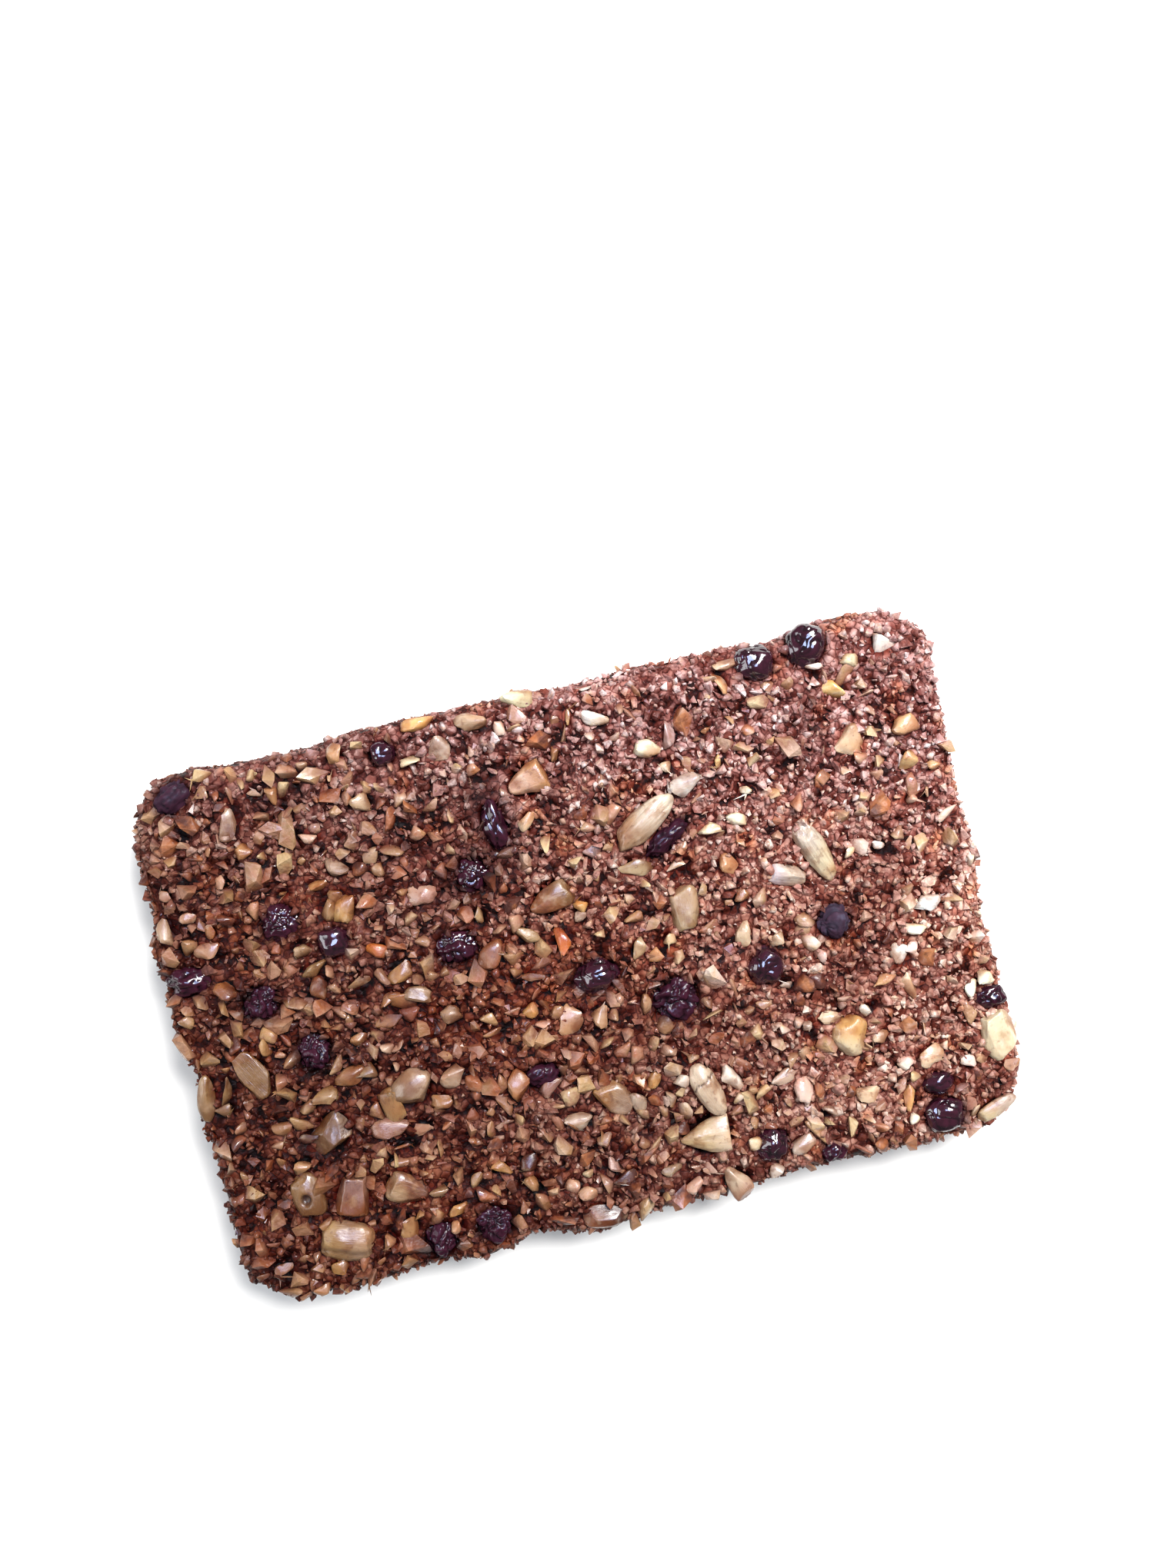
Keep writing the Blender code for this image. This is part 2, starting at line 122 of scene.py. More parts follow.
@dataclass(frozen=True)
class Swatch:
    """The colours of one kind of chip or kernel: its body and the end that its turn faces."""

    body: Colour
    tip: Colour


class Tone(Enum):
    """The kinds of chip and kernel, by their colours."""

    PINK = Swatch(srgb(211, 176, 158), srgb(188, 144, 128))
    PINK_TAN = Swatch(srgb(193, 155, 132), srgb(167, 120, 98))
    TAN = Swatch(srgb(188, 157, 126), srgb(166, 127, 96))
    OLIVE_TAN = Swatch(srgb(172, 146, 112), srgb(140, 106, 74))
    OLIVE_GREY = Swatch(srgb(160, 138, 115), srgb(128, 93, 69))
    OLIVE_CREAM = Swatch(srgb(204, 186, 150), srgb(178, 148, 112))
    OLIVE_BROWN = Swatch(srgb(140, 108, 76), srgb(110, 74, 48))
    YELLOW_TAN = Swatch(srgb(192, 154, 104), srgb(158, 108, 66))
    YELLOW = Swatch(srgb(203, 160, 102), srgb(182, 122, 64))
    ORANGE = Swatch(srgb(194, 114, 52), srgb(156, 84, 42))
    ORANGE_TAN = Swatch(srgb(178, 132, 92), srgb(146, 94, 62))
    ORANGE_BROWN = Swatch(srgb(155, 102, 66), srgb(126, 74, 48))
    RED_BROWN = Swatch(srgb(98, 54, 42), srgb(76, 38, 30))
    CREAM = Swatch(srgb(212, 196, 166), srgb(186, 150, 112))
    WHITE = Swatch(srgb(226, 212, 194), srgb(196, 170, 144))
    WHITE_GREY = Swatch(srgb(200, 184, 170), srgb(160, 132, 116))
    GREY = Swatch(srgb(173, 149, 132), srgb(142, 111, 94))
    PALE = Swatch(srgb(201, 181, 166), srgb(166, 138, 122))
    MAUVE = Swatch(srgb(162, 126, 118), srgb(128, 90, 84))
    LILAC = Swatch(srgb(198, 182, 190), srgb(160, 132, 134))


class Mark(Enum):
    """What stands out on a kernel's face."""

    PLAIN = "plain"
    CRACK = "crack"
    HOLE = "hole"
    FOLD = "fold"
    STREAKS = "streaks"
    STRIPES = "stripes"


class Skin(Enum):
    """How a berry's skin lies: its wrinkles' depth, its fine roughness and its shine."""

    GLOSSY = (0.10, 0.0, 1.0)
    WRINKLED = (0.30, 0.02, 0.75)
    ROUGH = (0.38, 0.07, 0.5)
    DULL = (0.30, 0.04, 0.2)
    DUSTY = (0.22, 0.03, 0.0)
    CRUSHED = (0.26, 0.03, 0.85)


# ---------------------------------------------------------------- node trees and meshes


def feed(tree: Tree, node: Node, inputs: Sockets) -> None:
    """Fills a node's sockets.

    Args:
        tree: The node's tree.
        node: The node.
        inputs: Socket names or places, each with a value or with the socket that feeds it.
    """
    for name, value in inputs.items():
        if isinstance(value, Socket):
            tree.links.new(value, node.inputs[name])
        else:
            node.inputs[name].default_value = value


def add_node(tree: Tree, kind: str, inputs: Sockets | None = None, **settings: object) -> Node:
    """Adds a node and fills its sockets.

    Args:
        tree: The tree that takes the node.
        kind: The node's type.
        inputs: Socket names or places, each with a value or with the socket that feeds it.
        settings: The node's own properties.

    Returns:
        The node.
    """
    node = tree.nodes.new(kind)
    for name, value in settings.items():
        setattr(node, name, value)
    feed(tree, node, inputs or {})
    return node


def add_math(tree: Tree, operation: str, *values: object, clamp: bool = False) -> Socket:
    """The result of a Math node on these values or sockets."""
    inputs = dict(enumerate(values))
    return add_node(tree, "ShaderNodeMath", inputs, operation=operation, use_clamp=clamp).outputs[0]


def times(tree: Tree, first: object, second: object) -> Socket:
    """The product of two values or sockets."""
    return add_math(tree, "MULTIPLY", first, second)


def plus(tree: Tree, first: object, second: object) -> Socket:
    """The sum of two values or sockets."""
    return add_math(tree, "ADD", first, second)


def minus(tree: Tree, first: object, second: object) -> Socket:
    """The first value or socket less the second."""
    return add_math(tree, "SUBTRACT", first, second)


def add_vector(tree: Tree, operation: str, *values: object) -> Socket:
    """The vector result of a Vector Math node on these values or sockets.

    Args:
        tree: The tree that takes the node.
        operation: What the node does.
        values: The values or sockets.

    Returns:
        The result.
    """
    inputs = dict(enumerate(values))
    if operation == "SCALE":
        inputs = {0: values[0], 3: values[1]}
    return add_node(tree, "ShaderNodeVectorMath", inputs, operation=operation).outputs[0]


def add_range(
    tree: Tree, value: object, start: float, end: float, low: float = 0.0, high: float = 1.0
) -> Socket:
    """The value smoothly mapped from start and end to low and high."""
    inputs = {0: value, 1: start, 2: end, 3: low, 4: high}
    return add_node(tree, "ShaderNodeMapRange", inputs, interpolation_type="SMOOTHSTEP").outputs[0]


def add_mix(tree: Tree, share: object, first: object, second: object, blend: str = "MIX") -> Socket:
    """The colour between two, by this share and blend."""
    inputs = {0: share, 6: first, 7: second}
    return add_node(tree, "ShaderNodeMix", inputs, data_type="RGBA", blend_type=blend).outputs[2]


def tinge(tree: Tree, share: object, colour: object, by: object) -> Socket:
    """The colour, as far as this share multiplied by another one."""
    return add_mix(tree, share, colour, by, "MULTIPLY")


def add_ramp(tree: Tree, share: Socket, stops: tuple[tuple[float, Colour], ...]) -> Socket:
    """The colour that a ramp with these stops gives for this share.

    Args:
        tree: The tree that takes the ramp.
        share: The place on the ramp, 0 to 1.
        stops: Places and their colours.

    Returns:
        The colour.
    """
    node = add_node(tree, "ShaderNodeValToRGB", {0: share})
    elements = node.color_ramp.elements
    while len(elements) < len(stops):
        elements.new(1.0)
    for element, (place, colour) in zip(elements, stops):
        element.position = place
        element.color = colour
    return node.outputs[0]


def add_attribute(tree: Tree, name: str, output: str = "Fac") -> Socket:
    """An attribute of the mesh, as a value, a colour or a vector."""
    return add_node(tree, "ShaderNodeAttribute", attribute_name=name).outputs[output]


def add_noise(tree: Tree, place: Socket, size: float, detail: float = 2.0, shift: float = 0.0) -> Socket:
    """Noise with lumps of this size in metres.

    Args:
        tree: The shader or geometry tree.
        place: The socket with the place in metres.
        size: How wide a lump is.
        detail: How many finer layers it has.
        shift: A move in metres that makes this noise unlike another.

    Returns:
        The noise's value, 0 to 1 with a mean of 0.5.
    """
    if shift:
        place = add_vector(tree, "ADD", place, (shift, 2 * shift, -shift))
    inputs = {"Vector": place, "Scale": 0.5 / size, "Detail": detail}
    return add_node(tree, "ShaderNodeTexNoise", inputs).outputs[0]


def new_group(name: str, kind: str, inputs: dict[str, str], outputs: dict[str, str]) -> Tree:
    """An empty node group.

    Args:
        name: Its name.
        kind: The type of its tree.
        inputs: Its inputs' names, each with what its socket holds, such as Float.
        outputs: Its outputs' names, in the same way.

    Returns:
        The group.
    """
    group = bpy.data.node_groups.new(name, kind)
    for in_out, sockets in (("INPUT", inputs), ("OUTPUT", outputs)):
        for socket, holds in sockets.items():
            group.interface.new_socket(socket, in_out=in_out, socket_type="NodeSocket" + holds)
    return group


def new_material(name: str) -> tuple[Material, Tree, Node]:
    """An empty node material.

    Args:
        name: Its name.

    Returns:
        The material, its tree and its Principled shader.
    """
    material = bpy.data.materials.new(name)
    material.use_nodes = True
    tree = material.node_tree
    return material, tree, tree.nodes["Principled BSDF"]


def new_mesh(name: str, shape: bmesh.types.BMesh) -> Mesh:
    """A mesh of this shape, which is freed.

    Args:
        name: Its name.
        shape: The shape.

    Returns:
        The mesh.
    """
    mesh = bpy.data.meshes.new(name)
    shape.to_mesh(mesh)
    shape.free()
    return mesh


def new_piece(name: str, mesh: Mesh, material: Material | None = None) -> Piece:
    """An object of this mesh in the scene, at the origin.

    Args:
        name: Its name.
        mesh: Its mesh.
        material: What it is made of.

    Returns:
        The object.
    """
    piece = bpy.data.objects.new(name, mesh)
    bpy.context.scene.collection.objects.link(piece)
    if material is not None:
        mesh.materials.clear()
        mesh.materials.append(material)
    return piece


def settle(piece: Piece) -> Piece:
    """Applies the piece's modifiers, so that it is a plain mesh.

    Args:
        piece: The piece.

    Returns:
        The same piece.
    """
    graph = bpy.context.evaluated_depsgraph_get()
    final = piece.evaluated_get(graph)
    mesh = bpy.data.meshes.new_from_object(final, preserve_all_data_layers=True, depsgraph=graph)
    piece.modifiers.clear()
    before = piece.data
    piece.data = mesh
    mesh.name = piece.name
    bpy.data.meshes.remove(before)
    return piece


def discard(piece: Piece) -> None:
    """Removes an object and its mesh.

    Args:
        piece: The object.
    """
    mesh = piece.data
    bpy.data.objects.remove(piece)
    bpy.data.meshes.remove(mesh)


def points_of(mesh: Mesh) -> np.ndarray:
    """Reads a mesh's points.

    Args:
        mesh: The mesh.

    Returns:
        The points, one a row.
    """
    flat = np.empty(len(mesh.vertices) * 3, np.float32)
    mesh.vertices.foreach_get("co", flat)
    return flat.reshape(-1, 3)


def normals_of(mesh: Mesh) -> np.ndarray:
    """Reads which way a mesh's points face.

    Args:
        mesh: The mesh.

    Returns:
        The directions, one a row.
    """
    flat = np.empty(len(mesh.vertices) * 3, np.float32)
    mesh.vertex_normals.foreach_get("vector", flat)
    return flat.reshape(-1, 3)


def store(mesh: Mesh, name: str, values: np.ndarray) -> None:
    """Writes an attribute of a mesh's points.

    Args:
        mesh: The mesh.
        name: The attribute's name.
        values: A value, a vector or a colour of four numbers for each point.
    """
    if name in mesh.attributes:
        mesh.attributes.remove(mesh.attributes[name])
    kinds = {1: ("FLOAT", "value"), 3: ("FLOAT_VECTOR", "vector"), 4: ("FLOAT_COLOR", "color")}
    kind, field = kinds[values.size // len(values)]
    layer = mesh.attributes.new(name, kind, "POINT")
    layer.data.foreach_set(field, values.astype(np.float32).ravel())


def triangles(piece: Piece) -> int:
    """How many triangles the piece's mesh has."""
    return sum(len(face.vertices) - 2 for face in piece.data.polygons)


def keep_below(mesh: Mesh, highest: float) -> None:
    """Moves a mesh down as far as it stands out above a height.

    Args:
        mesh: The mesh.
        highest: The height in metres.
    """
    over = float(points_of(mesh)[:, 2].max()) - highest
    if over > 0:
        mesh.transform(Matrix.Translation((0, 0, -over)))


def finish_piece(piece: Piece, nodes: tuple[str, ...] = ()) -> Piece:
    """Ties a finished piece to the bar.

    Args:
        piece: The piece, a plain mesh at the origin.
        nodes: The solids that it stands for.

    Returns:
        The piece.
    """
    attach(piece, "root")
    if nodes:
        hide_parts(*nodes)
    LOG.info("%s: %d triangles", piece.name, triangles(piece))
    return piece


# ---------------------------------------------------------------- what lies where


@dataclass(frozen=True)
class Kernel:
    """A whole or broken seed kernel: sizes in mm, turn in degrees, and its look.

    Attributes:
        name: Its node.
        length: Its length.
        width: Its width.
        turn: Where its own +X points.
        taper: How much it narrows towards +X, as a share.
        bluntness: 2 gives an ellipse in plan, less gives pointed ends and more gives blunt ones.
        body: Its colour.
        tip: Its colour at +X.
        cuts: Its broken faces, each the angle in plan that it faces, its distance and its rise.
        mark: What stands out on its face.
    """

    name: str
    length: float
    width: float
    turn: float
    taper: float
    bluntness: float
    body: Tone
    tip: Tone
    cuts: tuple[tuple[float, float, float], ...] = ()
    mark: Mark = Mark.PLAIN


@dataclass(frozen=True)
class Berry:
    """A dark berry: sizes in mm, turn in degrees and how its skin lies."""

    length: float
    width: float
    turn: float
    skin: Skin


KERNELS = (
    Kernel("kernel_long", 8.7, 3.5, 32, 0.15, 1.9, Tone.TAN, Tone.WHITE,
           ((160, 0.80, 0.2),), Mark.STREAKS),
    Kernel("kernel_upright", 7.0, 3.2, 292, 0.40, 2.6, Tone.WHITE_GREY, Tone.CREAM,
           ((185, 0.84, 0.5), (250, 0.80, 0.4), (0, 0.92, 0.3)), Mark.STREAKS),
    Kernel("kernel_half", 5.8, 4.2, -20, 0.05, 2.9, Tone.OLIVE_CREAM, Tone.WHITE_GREY,
           ((180, 0.93, 0.1), (4, 0.92, 0.3)), Mark.FOLD),
    Kernel("kernel_cracked", 6.2, 3.0, -72, 0.10, 2.1, Tone.WHITE, Tone.WHITE,
           ((80, 0.70, 0.6),), Mark.CRACK),
    Kernel("kernel_fan", 6.0, 5.0, 176, 0.80, 2.9, Tone.WHITE, Tone.OLIVE_CREAM,
           ((182, 0.74, 0.1),), Mark.STREAKS),
    Kernel("kernel_block", 5.3, 3.8, 92, 0.0, 3.6, Tone.CREAM, Tone.CREAM,
           ((12, 0.90, 0.1), (75, 0.88, 0.2), (205, 0.86, 0.2), (290, 0.84, 0.5), (0, 0.80, 9.0))),
    Kernel("kernel_amber", 4.5, 3.9, 70, 0.05, 2.8, Tone.CREAM, Tone.YELLOW,
           ((30, 0.82, 0.3), (150, 0.80, 0.3), (-95, 0.80, 0.6))),
    Kernel("kernel_slice", 5.2, 2.9, 120, 0.0, 5.0, Tone.OLIVE_TAN, Tone.OLIVE_TAN,
           ((50, 0.86, 0.0), (215, 0.80, 0.0), (90, 0.90, 0.3), (0, 0.60, 9.0))),
    Kernel("kernel_holed", 5.2, 3.3, 98, 0.10, 3.0, Tone.OLIVE_BROWN, Tone.OLIVE_TAN,
           ((170, 0.84, 0.2), (10, 0.90, 0.4)), Mark.HOLE),
    Kernel("kernel_domed", 4.9, 4.1, 40, 0.15, 2.5, Tone.OLIVE_GREY, Tone.WHITE_GREY,
           ((215, 0.62, 0.3), (-70, 0.70, 0.2))),
    Kernel("kernel_olive", 5.2, 4.2, 50, 0.10, 3.0, Tone.OLIVE_BROWN, Tone.OLIVE_BROWN,
           ((75, 0.62, 0.5), (150, 0.68, 0.9), (240, 0.66, 0.2), (-20, 0.64, 0.7), (30, 0.62, 2.0))),
    Kernel("kernel_two_tone", 4.9, 3.9, 70, 0.20, 3.6, Tone.ORANGE_BROWN, Tone.MAUVE,
           ((5, 0.80, 0.1), (85, 0.76, 0.4), (180, 0.80, 0.1), (-80, 0.78, 0.2), (0, 0.66, 5.0))),
    Kernel("kernel_glassy", 4.8, 3.4, -30, 0.10, 3.0, Tone.WHITE_GREY, Tone.MAUVE,
           ((60, 0.74, 0.4), (175, 0.76, 0.3), (-50, 0.72, 0.5), (0, 0.62, 3.0)), Mark.STRIPES),
    Kernel("kernel_tall", 5.0, 3.2, 82, 0.0, 4.0, Tone.OLIVE_TAN, Tone.TAN,
           ((20, 0.86, 0.2), (100, 0.80, 0.5), (190, 0.88, 0.1), (-100, 0.82, 0.3), (60, 0.72, 2.5))),
    Kernel("kernel_three_sided", 4.7, 4.0, 195, 0.60, 3.0, Tone.ORANGE_TAN, Tone.PINK_TAN,
           ((180, 0.72, 0.1), (80, 0.80, 0.5), (-85, 0.80, 0.3), (0, 0.66, 4.0))),
    Kernel("kernel_grooved", 5.0, 3.5, 195, 0.55, 2.6, Tone.OLIVE_BROWN, Tone.ORANGE_BROWN,
           ((190, 0.84, 0.2), (300, 0.74, 0.5)), Mark.STREAKS),
    Kernel("kernel_rim", 4.9, 2.0, 80, 0.20, 2.2, Tone.OLIVE_TAN, Tone.OLIVE_CREAM,
           ((-80, 0.60, 0.6),)),
    Kernel("kernel_corner", 4.9, 1.9, 20, 0.20, 2.3, Tone.OLIVE_CREAM, Tone.WHITE_GREY,
           ((180, 0.80, 0.2),)),
    Kernel("kernel_brown", 4.9, 2.6, -12, 0.15, 2.6, Tone.ORANGE_BROWN, Tone.RED_BROWN,
           ((90, 0.55, 0.9), (0, 0.80, 0.4), (180, 0.76, 0.5))),
    Kernel("kernel_spur", 4.2, 3.1, 115, 0.65, 2.8, Tone.PINK_TAN, Tone.WHITE,
           ((180, 0.80, 0.3), (70, 0.70, 0.9), (-70, 0.78, 0.5))),
    Kernel("kernel_glassy_small", 4.5, 2.5, -20, 0.15, 2.8, Tone.LILAC, Tone.WHITE_GREY,
           ((60, 0.70, 0.6), (180, 0.80, 0.3), (-70, 0.70, 0.8)), Mark.STRIPES),
    Kernel("kernel_amber_dark", 4.4, 3.2, -40, 0.05, 3.4, Tone.YELLOW_TAN, Tone.GREY,
           ((45, 0.84, 0.3), (140, 0.80, 0.5), (-120, 0.82, 0.2), (0, 0.66, 4.0))),
)

# Berries in the order of their nodes, berry_01 and on.
BERRIES = (
    Berry(5.0, 4.6, 80, Skin.GLOSSY),
    Berry(4.4, 4.0, 0, Skin.GLOSSY),
    Berry(4.4, 3.2, 40, Skin.DULL),
    Berry(2.9, 2.6, 0, Skin.GLOSSY),
    Berry(5.8, 2.8, 95, Skin.CRUSHED),
    Berry(3.8, 3.6, 0, Skin.CRUSHED),
    Berry(6.0, 2.4, 32, Skin.ROUGH),
    Berry(4.4, 3.6, 20, Skin.WRINKLED),
    Berry(3.6, 3.4, 0, Skin.GLOSSY),
    Berry(4.6, 3.0, 0, Skin.WRINKLED),
    Berry(4.2, 3.8, 0, Skin.ROUGH),
    Berry(4.8, 4.0, 0, Skin.WRINKLED),
    Berry(4.4, 4.2, 60, Skin.ROUGH),
    Berry(5.4, 3.9, 0, Skin.GLOSSY),
    Berry(5.6, 4.8, 15, Skin.ROUGH),
    Berry(4.4, 3.8, 80, Skin.GLOSSY),
    Berry(4.2, 4.0, 90, Skin.DUSTY),
    Berry(4.2, 3.0, 0, Skin.ROUGH),
    Berry(3.6, 2.4, 0, Skin.WRINKLED),
    Berry(3.6, 2.6, 0, Skin.GLOSSY),
    Berry(4.8, 4.1, 0, Skin.GLOSSY),
    Berry(4.0, 3.6, 30, Skin.GLOSSY),
    Berry(4.2, 4.0, 90, Skin.ROUGH),
    Berry(4.2, 3.8, 0, Skin.ROUGH),
    Berry(2.8, 2.3, 0, Skin.WRINKLED),
)

